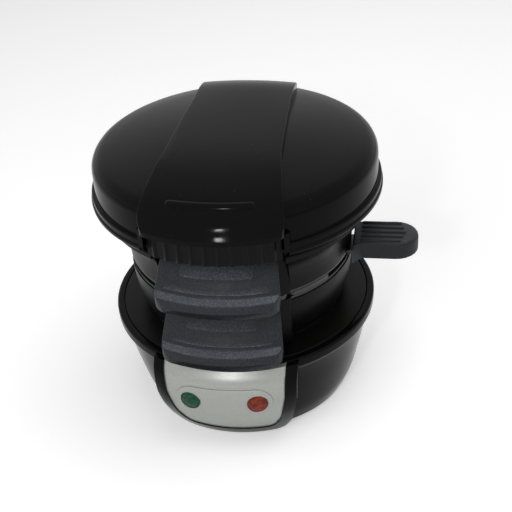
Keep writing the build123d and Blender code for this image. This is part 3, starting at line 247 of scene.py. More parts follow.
def divided(points, step):
    """Closed outline whose long edges are cut into short ones."""
    fine = []
    for here, after in zip(points, points[1:] + points[:1]):
        here, after = Vector(here), Vector(after)
        count = max(1, round((after - here).length / step))
        fine += [tuple(here.lerp(after, part / count)) for part in range(count)]
    return fine


def shrunk(outline, amount):
    """Closed anticlockwise outline drawn in by an amount."""
    points = [Vector(point) for point in outline]
    inner = []
    for place, here in enumerate(points):
        before = (here - points[place - 1]).normalized()
        after = (points[(place + 1) % len(points)] - here).normalized()
        normal = Vector((-before.y - after.y, before.x + after.x)).normalized()
        reach = amount / max(0.5, normal.dot(Vector((-before.y, before.x))))
        inner.append(tuple(here + normal * reach))
    return inner


def rounded_levels(foot, top, radius, steps=4):
    """(height, inset) of a slab whose lower and upper edges are rounded."""
    quarter = [math.pi / 2 * step / steps for step in range(steps + 1)]
    lower = [(foot + radius * (1 - math.sin(a)), radius * (1 - math.cos(a))) for a in reversed(quarter)]
    upper = [(top - radius * (1 - math.sin(a)), radius * (1 - math.cos(a))) for a in quarter]
    return lower + upper


# ---- modelling steps ----

def deselect():
    if bpy.context.object and bpy.context.object.mode != "OBJECT":
        bpy.ops.object.mode_set(mode="OBJECT")
    bpy.ops.object.select_all(action="DESELECT")


def choose(piece):
    deselect()
    piece.select_set(True)
    bpy.context.view_layer.objects.active = piece


def traced(name, outlines, closed=True):
    """Wires drawn by extruding one corner from point to point, left open for editing."""
    deselect()
    for number, outline in enumerate(outlines):
        points = [Vector(point) for point in outline]
        if closed:
            points.append(points[0])
        bpy.ops.mesh.primitive_plane_add(size=MM, location=points[0])
        if number == 0:
            bpy.context.object.name = name
            bpy.ops.object.transform_apply(location=True, rotation=False, scale=False)
            bpy.ops.object.mode_set(mode="EDIT")
            bpy.ops.mesh.select_mode(type="VERT")
            bpy.ops.mesh.select_all(action="SELECT")
        bpy.ops.mesh.merge(type="CENTER")
        for before, here in zip(points, points[1:]):
            bpy.ops.mesh.extrude_region_move(TRANSFORM_OT_translate={"value": here - before})
    bpy.ops.mesh.select_all(action="SELECT")
    bpy.ops.mesh.remove_doubles(threshold=0.001 * MM)
    return bpy.context.object


def pick(kind, test):
    """Selects the vertices, edges or faces of the piece being edited that pass a test."""
    bpy.ops.mesh.select_mode(type=kind)
    bpy.ops.mesh.select_all(action="DESELECT")
    mesh = bmesh.from_edit_mesh(bpy.context.object.data)
    for item in {"VERT": mesh.verts, "EDGE": mesh.edges, "FACE": mesh.faces}[kind]:
        item.select_set(test(item))
    mesh.select_flush_mode()
    bmesh.update_edit_mesh(bpy.context.object.data)


def closed_up():
    """Fills open ends, merges doubles, turns faces outwards and leaves edit mode."""
    bpy.ops.mesh.select_all(action="SELECT")
    bpy.ops.mesh.remove_doubles(threshold=0.001 * MM)
    bpy.ops.mesh.fill_holes(sides=0)
    bpy.ops.mesh.select_all(action="SELECT")
    bpy.ops.mesh.normals_make_consistent(inside=False)
    bpy.ops.object.mode_set(mode="OBJECT")
    return bpy.context.object


def spun(name, points, centre, axis, closed=True, sweep=360, steps=TURN_STEPS):
    """Solid turned about any axis from a wire."""
    traced(name, [points], closed)
    bpy.ops.mesh.spin(steps=steps, angle=math.radians(sweep), center=centre, axis=axis)
    return closed_up()


def turned(name, outline, closed=True, half_width=None):
    """Solid turned about the drum axis from (radius, height) points, all round or across the front."""
    sweep = 360 if half_width is None else 2 * math.degrees(half_width / outline[0][0])
    start = math.radians(-90 + sweep / 2)
    wire = [(r * math.cos(start), r * math.sin(start), z) for r, z in outline]
    steps = max(12, round(TURN_STEPS * sweep / 360))
    return spun(name, wire, (0, 0, 0), (0, 0, 1), closed, sweep, steps)


def prism(name, points, travel):
    """Solid pushed out from a flat closed outline."""
    traced(name, [points])
    bpy.ops.mesh.edge_face_add()
    bpy.ops.mesh.select_mode(type="FACE")
    bpy.ops.mesh.extrude_region_move(TRANSFORM_OT_translate={"value": travel})
    return closed_up()


def lofted(name, rings):
    """Closed skin bridged from ring to ring, with its two ends filled."""
    traced(name, rings)
    bpy.ops.mesh.select_mode(type="EDGE")
    bpy.ops.mesh.select_all(action="SELECT")
    bpy.ops.mesh.bridge_edge_loops(type="SINGLE", use_merge=False)
    return closed_up()


def slab(name, outline, levels):
    """Upright solid stacked from an anticlockwise plan at (height, inset) levels."""
    return lofted(name, [[(x, y, z) for x, y in shrunk(outline, inset)] for z, inset in levels])


def combined(piece, other, operation):
    """Joins two solids, cuts the second from the first or keeps what both hold, and removes the second."""
    choose(piece)
    bpy.ops.object.modifier_add(type="BOOLEAN")
    modifier = piece.modifiers[-1]
    modifier.operation = operation
    modifier.solver = "EXACT"
    modifier.object = other
    bpy.ops.object.modifier_apply(modifier=modifier.name)
    bpy.data.objects.remove(other)
    return piece


def welded(piece, distance):
    """Closes up the very short edges that a cut leaves, which would hold a bevel back."""
    choose(piece)
    bpy.ops.object.mode_set(mode="EDIT")
    bpy.ops.mesh.select_all(action="SELECT")
    bpy.ops.mesh.remove_doubles(threshold=distance)
    bpy.ops.object.mode_set(mode="OBJECT")


def bevelled(piece, width, segments=2, angle=35):
    """Rounds the edges that are sharper than an angle."""
    choose(piece)
    bpy.ops.object.modifier_add(type="BEVEL")
    modifier = piece.modifiers[-1]
    modifier.width = width
    modifier.segments = segments
    modifier.limit_method = "ANGLE"
    modifier.angle_limit = math.radians(angle)
    bpy.ops.object.modifier_apply(modifier=modifier.name)
    return piece


def finished(piece, slot, body, *nodes, smooth=30, finish=None):
    """Shades the piece, gives it its finish, and puts it on its body in place of its nodes."""
    choose(piece)
    if smooth:
        bpy.ops.object.shade_smooth_by_angle(angle=math.radians(smooth))
    else:
        bpy.ops.object.shade_flat()
    piece.data.materials.clear()
    piece.data.materials.append(material_of(finish or slot))
    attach(piece, body)
    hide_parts(*nodes)
    return piece


# ---- finishes ----

def node_group(name, inputs, outputs):
    """Empty shader node group with its sockets."""
    group = bpy.data.node_groups.new(name, "ShaderNodeTree")
    for label, kind, value in inputs:
        socket = group.interface.new_socket(name=label, in_out="INPUT", socket_type=kind)
        if value is not None:
            socket.default_value = value
    for label in outputs:
        group.interface.new_socket(name=label, in_out="OUTPUT", socket_type="NodeSocketFloat")
    return group, group.nodes.new("NodeGroupInput").outputs, group.nodes.new("NodeGroupOutput").inputs


def wired(tree, kind, values=(), links=(), **options):
    """New node with its options, plain values and incoming links."""
    node = tree.nodes.new(kind)
    for option, value in options.items():
        setattr(node, option, value)
    for socket, value in dict(values).items():
        node.inputs[socket].default_value = value
    for socket, source in dict(links).items():
        tree.links.new(source, node.inputs[socket])
    return node


def ranged(tree, source, bounds, reach=(0.0, 1.0)):
    """Value that goes over the reach as the source goes over its bounds."""
    values = {"From Min": bounds[0], "From Max": bounds[1], "To Min": reach[0], "To Max": reach[1]}
    return wired(tree, "ShaderNodeMapRange", values, {"Value": source}).outputs["Result"]


def product(tree, first, second):
    return wired(tree, "ShaderNodeMath", {}, {0: first, 1: second}, operation="MULTIPLY").outputs[0]


def moulded_grain():
    """Fine pebble of moulded plastic: a height for bump and a mask of its peaks."""
    group, given, out = node_group(
        "moulded_grain",
        [("Vector", "NodeSocketVector", None), ("Scale", "NodeSocketFloat", 900.0)],
        ["Height", "Peaks"],
    )
    places = {"Vector": given["Vector"], "Scale": given["Scale"]}
    fine = wired(group, "ShaderNodeTexNoise", {"Detail": 3.0, "Roughness": 0.6}, places)
    cells = wired(group, "ShaderNodeTexVoronoi", {}, places)
    both = wired(group, "ShaderNodeMath", {}, {0: fine.outputs[0], 1: cells.outputs["Distance"]})
    group.links.new(both.outputs[0], out["Height"])
    group.links.new(ranged(group, both.outputs[0], (0.85, 1.25)), out["Peaks"])
    return group


def handling_marks():
    """Cloudy smudges and fine scratches that polished plastic picks up."""
    group, given, out = node_group(
        "handling_marks",
        [("Vector", "NodeSocketVector", None), ("Scale", "NodeSocketFloat", 30.0)],
        ["Smudges", "Scratches"],
    )
    places = {"Vector": given["Vector"], "Scale": given["Scale"]}
    clouds = wired(group, "ShaderNodeTexNoise", {"Detail": 5.0, "Roughness": 0.62, "Distortion": 0.6}, places)
    group.links.new(ranged(group, clouds.outputs[0], (0.42, 0.72)), out["Smudges"])
    stretch = {"Scale": (9.0, 160.0, 60.0), "Rotation": (0.2, 0.1, 0.5)}
    drawn_out = wired(group, "ShaderNodeMapping", stretch, {"Vector": given["Vector"]})
    lines = wired(group, "ShaderNodeTexNoise", {"Scale": 6.0, "Detail": 2.0}, {"Vector": drawn_out.outputs[0]})
    group.links.new(ranged(group, lines.outputs[0], (0.7, 0.76)), out["Scratches"])
    return group


def settled_dust():
    """Specks of dust, in patches and only on what faces up."""
    group, given, out = node_group(
        "settled_dust",
        [("Vector", "NodeSocketVector", None), ("Amount", "NodeSocketFloat", 0.5)],
        ["Dust"],
    )
    specks = wired(group, "ShaderNodeTexVoronoi", {"Scale": 420.0}, {"Vector": given["Vector"]})
    patches = wired(group, "ShaderNodeTexNoise", {"Scale": 45.0, "Detail": 4.0}, {"Vector": given["Vector"]})
    small = ranged(group, specks.outputs["Distance"], (0.16, 0.05))
    lying = product(group, small, ranged(group, patches.outputs[0], (0.5, 0.75)))
    lying = product(group, lying, upward(group, (0.2, 1.0)))
    group.links.new(product(group, lying, given["Amount"]), out["Dust"])
    return group


def brushed_lines():
    """Long fine lines of drawn metal."""
    group, given, out = node_group(
        "brushed_lines",
        [("Vector", "NodeSocketVector", None), ("Stretch", "NodeSocketVector", (20.0, 900.0, 900.0))],
        ["Lines"],
    )
    links = {0: given["Vector"], 1: given["Stretch"]}
    stretch = wired(group, "ShaderNodeVectorMath", {}, links, operation="MULTIPLY")
    noise = wired(group, "ShaderNodeTexNoise", {"Scale": 1.0, "Detail": 3.0}, {"Vector": stretch.outputs[0]})
    group.links.new(noise.outputs[0], out["Lines"])
    return group


GROUPS = {}
MATERIALS = {}


def grouped(tree, maker, values, place):
    """Node that holds a shared group, which is made when it is first asked for."""
    if maker.__name__ not in GROUPS:
        GROUPS[maker.__name__] = maker()
    node = tree.nodes.new("ShaderNodeGroup")
    node.node_tree = GROUPS[maker.__name__]
    for socket, value in values.items():
        node.inputs[socket].default_value = value
    tree.links.new(place, node.inputs["Vector"])
    return node.outputs


def surface(name, **plain):
    """New material, its Principled BSDF with plain values set, and the place that patterns are read from."""
    material = bpy.data.materials.new(name)
    material.use_nodes = True
    tree = material.node_tree
    shader = tree.nodes["Principled BSDF"]
    for socket, value in plain.items():
        shader.inputs[socket.replace("_", " ")].default_value = value
    return material, tree, shader.inputs, tree.nodes.new("ShaderNodeTexCoord").outputs["Object"]


def mixed_colour(tree, mask, first, second):
    """Colour that goes from the first to the second with a mask."""
    mix = wired(tree, "ShaderNodeMix", data_type="RGBA")
    first_socket, second_socket = [socket for socket in mix.inputs if socket.type == "RGBA"]
    first_socket.default_value = (*first, 1)
    second_socket.default_value = (*second, 1)
    tree.links.new(mask, mix.inputs[0])
    return [socket for socket in mix.outputs if socket.type == "RGBA"][0]


def bump(tree, height, distance, strength=1.0):
    return wired(tree, "ShaderNodeBump", {"Distance": distance, "Strength": strength}, {"Height": height}).outputs[0]


def gloss_black():
    material, tree, shader, place = surface("gloss_black", Specular_IOR_Level=0.06)
    marks = grouped(tree, handling_marks, {"Scale": 26.0}, place)
    dust = grouped(tree, settled_dust, {"Amount": 0.5}, place)
    base = settings().finish.gloss_black
    tree.links.new(mixed_colour(tree, dust["Dust"], base, (0.09, 0.088, 0.08)), shader["Base Color"])
    tree.links.new(ranged(tree, marks["Smudges"], (0, 1), (0.085, 0.19)), shader["Roughness"])
    waves = wired(tree, "ShaderNodeTexNoise", {"Scale": 60.0, "Detail": 2.0}, {"Vector": place})
    tree.links.new(bump(tree, waves.outputs[0], 0.04 * MM, 0.35), shader["Normal"])
    return material


def satin_black():
    material, tree, shader, place = surface("satin_black", Specular_IOR_Level=0.08)
    grain = grouped(tree, moulded_grain, {"Scale": 1300.0}, place)
    marks = grouped(tree, handling_marks, {"Scale": 34.0}, place)
    dust = grouped(tree, settled_dust, {"Amount": 0.55}, place)
    base = settings().finish.satin_black
    tree.links.new(mixed_colour(tree, dust["Dust"], base, (0.08, 0.075, 0.068)), shader["Base Color"])
    tree.links.new(ranged(tree, marks["Smudges"], (0, 1), (0.33, 0.46)), shader["Roughness"])
    tree.links.new(bump(tree, grain["Height"], 0.03 * MM, 0.5), shader["Normal"])
    return material


def upward(tree, bounds):
    """Mask of what faces up, as the vertical part of the normal goes over its bounds."""
    parts = wired(tree, "ShaderNodeSeparateXYZ")
    tree.links.new(wired(tree, "ShaderNodeNewGeometry").outputs["Normal"], parts.inputs[0])
    return ranged(tree, parts.outputs["Z"], bounds)


def grained(name, base, scale, depth, rough, top_highlight=0.0):
    """Matte plastic or rubber with light peaks in its grain, and, when a strength is given, a painted highlight where
    it faces up.
    """
    material, tree, shader, place = surface(name, Specular_IOR_Level=0.22)
    base = Vector(base)
    grain = grouped(tree, moulded_grain, {"Scale": scale}, place)
    marks = grouped(tree, handling_marks, {"Scale": 60.0}, place)
    grain_and_highlight = grain["Peaks"]
    light = base * 1.7
    # Painted highlight: where the surface faces up, the grain turns pale bluish white by the given strength, standing
    # in for light from above.
    if top_highlight:
        painted_top = product(tree, upward(tree, (0.66, 0.93)), ranged(tree, grain_and_highlight, (0, 1), (0.45, 1.0)))
        grain_and_highlight = wired(tree, "ShaderNodeMath", {}, {0: ranged(tree, grain_and_highlight, (0, 1), (0, 0.12)), 1: painted_top}).outputs[0]
        light = Vector((0.9, 0.97, 1.1)) * top_highlight
    tree.links.new(mixed_colour(tree, grain_and_highlight, base, light), shader["Base Color"])
    tree.links.new(ranged(tree, marks["Smudges"], (0, 1), (rough, rough + 0.12)), shader["Roughness"])
    tree.links.new(bump(tree, grain["Height"], depth, 0.8), shader["Normal"])
    return material


def slate_grip():
    # Strong painted highlight on the ledges, ridges and top edges of the ring handles, where they face up.
    return grained("slate_grip", settings().finish.slate, 1500.0, 0.07 * MM, 0.42, top_highlight=0.15)


def slate_side():
    """The side handle's slate, with a weaker painted highlight on what faces up."""
    return grained("slate_side", settings().finish.slate, 1500.0, 0.07 * MM, 0.42, top_highlight=0.03)


def foot_rubber():
    return grained("foot_rubber", (0.016, 0.016, 0.016), 900.0, 0.06 * MM, 0.7)


def inner_plastic():
    return grained("inner_plastic", (0.16, 0.15, 0.135), 1000.0, 0.03 * MM, 0.45)


def silver_panel():
    material, tree, shader, place = surface("silver_panel", Metallic=0.55)
    base = Vector(settings().finish.silver)
    flakes = wired(tree, "ShaderNodeTexVoronoi", {"Scale": 3800.0}, {"Vector": place})
    sparkle = wired(tree, "ShaderNodeSeparateColor", {}, {0: flakes.outputs["Color"]})
    marks = grouped(tree, handling_marks, {"Scale": 40.0}, place)
    tree.links.new(mixed_colour(tree, sparkle.outputs[0], base * 0.88, base * 1.12), shader["Base Color"])
    tree.links.new(ranged(tree, marks["Smudges"], (0, 1), (0.34, 0.44)), shader["Roughness"])
    tree.links.new(bump(tree, sparkle.outputs[1], 0.02 * MM, 0.3), shader["Normal"])
    return material


def light_plastic(name, base):
    """Clear coloured plastic with a cut pattern behind its surface."""
    material, tree, shader, place = surface(
        name, Coat_Weight=0.25, Coat_Roughness=0.03, Specular_IOR_Level=0.1
    )
    base = Vector(base)
    cells = wired(tree, "ShaderNodeTexVoronoi", {"Scale": 620.0}, {"Vector": place}).outputs["Distance"]
    smears = grouped(tree, handling_marks, {"Scale": 200.0}, place)
    depth = ranged(tree, cells, (0.0, 0.7))
    tree.links.new(mixed_colour(tree, depth, base * 1.1, base * 0.35), shader["Base Color"])
    tree.links.new(ranged(tree, smears["Smudges"], (0, 1), (0.06, 0.14)), shader["Roughness"])
    tree.links.new(bump(tree, cells, 0.2 * MM, 0.12), shader["Normal"])
    return material


def green_lens():
    return light_plastic("green_lens", settings().finish.green)


def red_lens():
    return light_plastic("red_lens", settings().finish.orange)


def lamp_glass():
    material, tree, shader, place = surface("lamp_glass", Transmission_Weight=0.9)
    film = wired(tree, "ShaderNodeTexNoise", {"Scale": 300.0}, {"Vector": place}).outputs[0]
    tree.links.new(ranged(tree, film, (0, 1), (0.02, 0.12)), shader["Roughness"])
    tree.links.new(mixed_colour(tree, film, (0.95, 0.93, 0.9), (0.85, 0.83, 0.8)), shader["Base Color"])
    return material


def coated(name):
    """Non-stick coating: dark, with fine light specks."""
    material, tree, shader, place = surface(name, Metallic=0.25)
    base = Vector(settings().finish.nonstick)
    specks = wired(tree, "ShaderNodeTexVoronoi", {"Scale": 1500.0}, {"Vector": place}).outputs["Distance"]
    marks = grouped(tree, handling_marks, {"Scale": 38.0}, place)
    tree.links.new(mixed_colour(tree, ranged(tree, specks, (0.2, 0.06)), base, base * 3.5), shader["Base Color"])
    tree.links.new(ranged(tree, marks["Smudges"], (0, 1), (0.26, 0.42)), shader["Roughness"])
    tree.links.new(bump(tree, specks, 0.03 * MM, 0.4), shader["Normal"])
    return material


def nonstick_plate():
    return coated("nonstick_plate")


def nonstick_liner():
    return coated("nonstick_liner")


def drawn_metal(name, base, rough, stretch):
    material, tree, shader, place = surface(name, Metallic=1.0)
    base = Vector(base)
    lines = grouped(tree, brushed_lines, {"Stretch": stretch}, place)["Lines"]
    tree.links.new(mixed_colour(tree, lines, base * 0.8, base * 1.15), shader["Base Color"])
    tree.links.new(ranged(tree, lines, (0, 1), (rough, rough + 0.14)), shader["Roughness"])
    tree.links.new(bump(tree, lines, 0.02 * MM, 0.4), shader["Normal"])
    return material


def steel():
    return drawn_metal("steel", settings().finish.steel, 0.26, (60.0, 900.0, 900.0))


def element_steel():
    return drawn_metal("element_steel", (0.2, 0.19, 0.18), 0.38, (700.0, 700.0, 90.0))


def reflector_sheet():
    return drawn_metal("reflector_sheet", (0.6, 0.6, 0.61), 0.24, (30.0, 1200.0, 1200.0))


MAKERS = {
    maker.__name__: maker
    for maker in (
        gloss_black, satin_black, slate_grip, silver_panel, green_lens, red_lens, lamp_glass,
        nonstick_plate, nonstick_liner, steel, element_steel, reflector_sheet, foot_rubber, inner_plastic,
        slate_side,
    )
}


def material_of(slot):
    """The finish of a slot, made when it is first asked for."""
    if slot not in MATERIALS:
        MATERIALS[slot] = MAKERS[slot]()
    return MATERIALS[slot]


# ---- base ----

def bowl_curve(inset=0.0):
    """Side of the bowl from under the flange to its lower edge, as (radius, height) points."""
    base = settings().base
    top, foot = base.bowl_top - inset, base.bowl_foot - inset
    return flow([
        (top, DECK_TOP - base.flange),
        (top - 2.6 * MM, DECK_TOP * 0.72),
        (top - 5.8 * MM, DECK_TOP * 0.46),
        (foot + 3.7 * MM, DECK_TOP * 0.2),
        (foot, BOWL_FOOT),
    ])


def panel_radius():
    """Furthest that the panel's frame reaches from the drum axis."""
    return FIELD_RADIUS + settings().base.field_sink - settings().base.pad_rise


def panel_curve(offset):
    """Front of the panel from the deck down, as (radius, height) points moved out by an offset."""
    out = panel_radius() + offset
    return flow([
        (out - 4.6 * MM, DECK_TOP),
        (out - 1.0 * MM, DECK_TOP - 5.0 * MM),
        (out, DECK_TOP * 0.8),
        (out - 0.4 * MM, DECK_TOP * 0.68),
        (out - 3.0 * MM, DECK_TOP * 0.5),
        (out - 7.4 * MM, DECK_TOP * 0.33),
        (out - 12.6 * MM, DECK_TOP * 0.17),
        (out - 16.8 * MM, BOWL_FOOT + 1.0 * MM),
    ], per=4)


def panel_bulge(name, offset, top=0.0):
    """Solid of revolution under the panel's front, with its top raised for cutting."""
    curve = panel_curve(offset)
    ends = [(0, DECK_TOP + top), (curve[0][0], DECK_TOP + top)] if top else [(0, DECK_TOP)]
    return turned(name, [*ends, *curve, (0, curve[-1][1])], closed=False)


def front_bar(name, half, foot, top=DECK_TOP):
    """Bar through the front whose outline is the panel's as seen from the front."""
    span = DECK_TOP - foot
    lower = half * 0.26
    corners = [
        (-half, top, 0), (-half + 0.8 * MM, foot + span * 0.62, 6 * MM), (-half * 0.87, foot + span * 0.22, lower),
        (-half * 0.72, foot, lower * 0.7), (half * 0.72, foot, lower * 0.7),
        (half * 0.87, foot + span * 0.22, lower), (half - 0.8 * MM, foot + span * 0.62, 6 * MM), (half, top, 0),
    ]
    return prism(name, [(x, -BORE, z) for x, z in eased(corners)], (0, -BEYOND, 0))


def bowl():
    base = settings().base
    inner = bowl_curve(base.wall)
    ledge = DECK_RADIUS - base.ledge
    upper = eased([
        (base.bowl_top, DECK_TOP - base.flange - 1 * MM, 0),
        (base.bowl_top, DECK_TOP - base.flange, 0.3 * MM),
        (FLANGE_RADIUS, DECK_TOP - base.flange, 0.9 * MM),
        (FLANGE_RADIUS, DECK_TOP, 1.3 * MM),
        (DECK_RADIUS + 0.1 * MM, DECK_TOP, 0.7 * MM),
        (DECK_RADIUS + 0.1 * MM, DECK_FOOT, 0),
        (ledge, DECK_FOOT, 0),
        (ledge, DECK_TOP - base.flange, 0),
    ], closed=False)
    shell = turned("bowl", [*reversed(bowl_curve()[1:]), *upper, *inner])
    window = front_bar("window", base.frame_half - 6.5 * MM, 10 * MM, DECK_FOOT - 6 * MM)
    combined(shell, window, "DIFFERENCE")
    gland_low, gland_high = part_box("cord_gland")
    middle = (gland_low.z + gland_high.z) / 2
    radius = (gland_high.z - gland_low.z) / 2 + 1 * MM
    face = gland_high.y - 2.2 * MM
    boss = [(0, base.bowl_foot - 3 * MM), (radius, base.bowl_foot - 3 * MM), (radius, face - 0.6 * MM)]
    boss += [(radius - 0.6 * MM, face), (0, face)]
    wire = [(r, y, middle) for r, y in boss]
    boss = spun("boss", wire, (0, 0, middle), (0, 1, 0), closed=False, steps=48)
    combined(shell, boss, "UNION")
    bore = [(0, BORE), (radius - 3 * MM, BORE), (radius - 3 * MM, BEYOND), (0, BEYOND)]
    wire = [(r, y, middle) for r, y in bore]
    combined(shell, spun("bore", wire, (0, 0, middle), (0, 1, 0), closed=False, steps=48), "DIFFERENCE")
    return finished(shell, "gloss_black", "base", "base_shell")


def deck():
    """Deck ring with a softened outer edge and the step that takes the bottom ring's lip."""
    edge = DECK_RADIUS
    outline = eased([
        (BORE + 0.5 * MM, DECK_FOOT, 0),
        (edge, DECK_FOOT, 0),
        (edge, DECK_TOP, 0.8 * MM),
        (BORE + 3.2 * MM, DECK_TOP, 0.6 * MM),
        (BORE + 3.2 * MM, DECK_FOOT + 0.8 * MM, 0),
        (BORE + 0.5 * MM, DECK_FOOT + 0.8 * MM, 0),
    ])
    return finished(turned("deck", outline), "satin_black", "base", "base_deck")


def solid_bowl():
    """The bowl's outside as a solid, for cutting what sits against it."""
    outside = FLANGE_RADIUS + 0.1 * MM
    above = DECK_TOP + 5 * MM
    outline = [(0, above), (outside, above), (outside, DECK_TOP - settings().base.flange)]
    return turned("solid_bowl", [*outline, *bowl_curve(-0.1 * MM), (0, BOWL_FOOT)], closed=False)


def panel_frame():
    """Gloss frame that stands out from the bowl round the silver panel."""
    base = settings().base
    shape = front_bar("panel_frame", base.frame_half, BOWL_FOOT + 1.5 * MM)
    combined(shape, panel_bulge("bulge", 0), "INTERSECT")
    combined(shape, front_bar("field", base.field_half, base.field_foot, DECK_TOP + 5 * MM), "DIFFERENCE")
    inset = base.panel_wall
    room = front_bar("room", base.frame_half - inset, BOWL_FOOT + 1.5 * MM + inset, DECK_TOP + 5 * MM)
    combined(room, panel_bulge("room_bulge", -inset - base.field_sink, 6 * MM), "INTERSECT")
    combined(shape, room, "DIFFERENCE")
    combined(shape, solid_bowl(), "DIFFERENCE")
    bevelled(shape, 0.45 * MM)
    return finished(shape, "gloss_black", "base", "panel_housing")


def silver_field():
    """Silver panel with the long round-ended pad that the two lights stand on."""
    base = settings().base
    gap = 0.1 * MM
    shape = front_bar("silver_field", base.field_half - gap, base.field_foot + gap, DECK_TOP - 0.1 * MM)
    combined(shape, panel_bulge("front", -base.field_sink), "INTERSECT")
    behind = front_bar("behind", base.field_half + BORE, -DECK_TOP, DECK_TOP - base.panel_wall)
    combined(behind, panel_bulge("back", -base.field_sink - base.panel_wall), "INTERSECT")
    combined(shape, behind, "DIFFERENCE")
    combined(shape, solid_bowl(), "DIFFERENCE")
    middle = DECK_TOP - base.light_drop
    half = base.pad_half
    reach = base.light_x + base.pad_end - half
    outline = arc((reach, middle), half, -90, 90) + arc((-reach, middle), half, 90, 270)
    pad = prism("pad", [(x, -BORE, z) for x, z in outline], (0, -BEYOND, 0))
    combined(pad, panel_bulge("pad_front", base.pad_rise - base.field_sink), "INTERSECT")
    combined(pad, panel_bulge("pad_back", -base.field_sink - base.panel_wall / 2, 1 * MM), "DIFFERENCE")
    welded(pad, 0.5 * MM)
    bevelled(pad, base.pad_rise * 0.85, 3)
    combined(shape, pad, "UNION")
    return finished(shape, "silver_panel", "base", "control_panel")


def light(name, side, slot, node):
    """Light with a smooth collar and a cut dome, turned about its own outward axis."""
    base = settings().base
    middle = DECK_TOP - base.light_drop
    turn = side * math.asin(base.light_x / panel_radius())
    outward = Vector((math.sin(turn), -math.cos(turn), 0))
    across = Vector((math.cos(turn), math.sin(turn), 0))
    floor = panel_radius() - base.field_sink + base.pad_rise
    radius = base.light_radius
    profile = [
        (0, -6.0), (1.0, -6.0), (1.0, -0.1), (0.96, 0.2), (0.89, 0.25), (0.86, 0.05),
        (0.7, 0.55), (0.45, 0.85), (0.18, 1.0), (0, 1.0),
    ]
    wire = []
    for share, rise in profile:
        point = outward * (floor + rise * MM) + across * share * radius
        wire.append((point.x, point.y, middle))
    piece = spun(name, wire, (0, 0, middle), outward, closed=False, steps=16)
    return finished(piece, slot, "base", node, smooth=0)


# ---- ring handles ----

def handle_lines(top, foot):
    """Upper and lower line of a ring's handle as (radius, height) points, from the block to the lip."""
    handle = settings().handle
    face = HANDLE_LIP_RADIUS - handle.reach
    root = face + handle.sheet
    lip = HANDLE_LIP_RADIUS
    upper = eased([
        (face, top, 0),
        (root + 1.0 * MM, top, 2.0 * MM),
        (lip - 5.2 * MM, foot + 8.4 * MM, 0.8 * MM),
        (lip - 1.3 * MM, foot + 6.8 * MM, 1.4 * MM),
        (lip, foot + 2.9 * MM, 0),
    ], closed=False)
    lower = [
        (face, top - handle.foot_height), (root, top - handle.foot_height), (root + 0.1 * MM, top - 8.5 * MM),
        (lip - 5.5 * MM, foot + 3.5 * MM), (lip - 3.0 * MM, foot), (lip, foot),
    ]
    return upper, lower


def handle_half(radius):
    """Half width of a ring's handle at a radius, with its round lip corners."""
    handle = settings().handle
    face = HANDLE_LIP_RADIUS - handle.reach
    share = (radius - face) / handle.reach
    half = handle.root_half + (handle.lip_half - handle.root_half) * share
    past = max(0.0, radius - (HANDLE_LIP_RADIUS - handle.corner))
    return half - handle.corner + math.sqrt(max(0.0, handle.corner**2 - past**2))


def ridge_rise(radius, x, ridges):
    """Height that a handle's ridges add at a place on its slope."""
    rise = 0.0
    for start, width, half_length, height in ridges:
        share = (radius - start) / width
        if 0 < share < 1:
            end = min(1.0, max(0.0, (half_length - abs(x)) / (0.6 * MM)))
            rise += height * end * min(share / 0.72, (1 - share) / 0.28)
    return rise


def ring_handle(name, node, body, lip_foot):
    """Handle curved round the drum: slope with two ridges, ledge, nose and a thin lip with round corners."""
    handle = settings().handle
    top = high(node).z
    upper, lower = handle_lines(top, lip_foot)
    lip = HANDLE_LIP_RADIUS
    bar = (lip - 11.4 * MM, 1.5 * MM, 18.3 * MM, handle.ridge * 1.05)
    line = (lip - 6.6 * MM, 0.8 * MM, 26.5 * MM, handle.ridge * 0.55)
    stations = [radius for radius, height in upper] + [radius for radius, height in lower]
    stations += [lip - handle.corner * (1 - math.sin(math.radians(turn))) for turn in range(0, 90, 12)]
    for start, width, half_length, height in (bar, line):
        stations += [start + width * share for share in (0, 0.36, 0.72, 0.86, 1)]
    stations = sorted(stations)
    kept = [stations[0]]
    for radius in stations[1:]:
        if radius - kept[-1] > 0.08 * MM:
            kept.append(radius)
    rings = []
    for radius in kept:
        rings.append(handle_ring(radius, level_on(upper, radius), level_on(lower, radius), (bar, line)))
    return finished(lofted(name, rings), "slate_grip", body, node)


def handle_ring(radius, top, foot, ridges):
    """Outline of a handle at a distance from the drum axis, with rounded edges."""
    half = handle_half(radius)
    edge = min(settings().handle.edge, (top - foot) * 0.45)
    corner = [(edge * (1 - math.cos(a)), edge * (1 - math.sin(a))) for a in (0, 0.4, 0.8, 1.2)]
    ring = [(-half + across, top - down) for across, down in corner]
    marks = [half - edge, 26.6 * MM, 25.9 * MM, 18.4 * MM, 17.7 * MM, 12 * MM, 6 * MM, 0]
    marks = [min(mark, half - edge - 0.05 * MM * place) for place, mark in enumerate(marks)]
    crosswise = [-mark for mark in marks] + list(reversed(marks[:-1]))
    ring += [(x, top + ridge_rise(radius, x, ridges)) for x in crosswise]
    ring += [(half - across, top - down) for across, down in reversed(corner)]
    ring += [(half - across, foot + down) for across, down in corner]
    ring += [((half - edge) * (1 - step / 4), foot) for step in range(9)]
    ring += [(-half + across, foot + down) for across, down in reversed(corner)]
    return [(x, -math.sqrt(max(radius**2 - x**2, 0.0)), z) for x, z in ring]


# ---- side handle ----

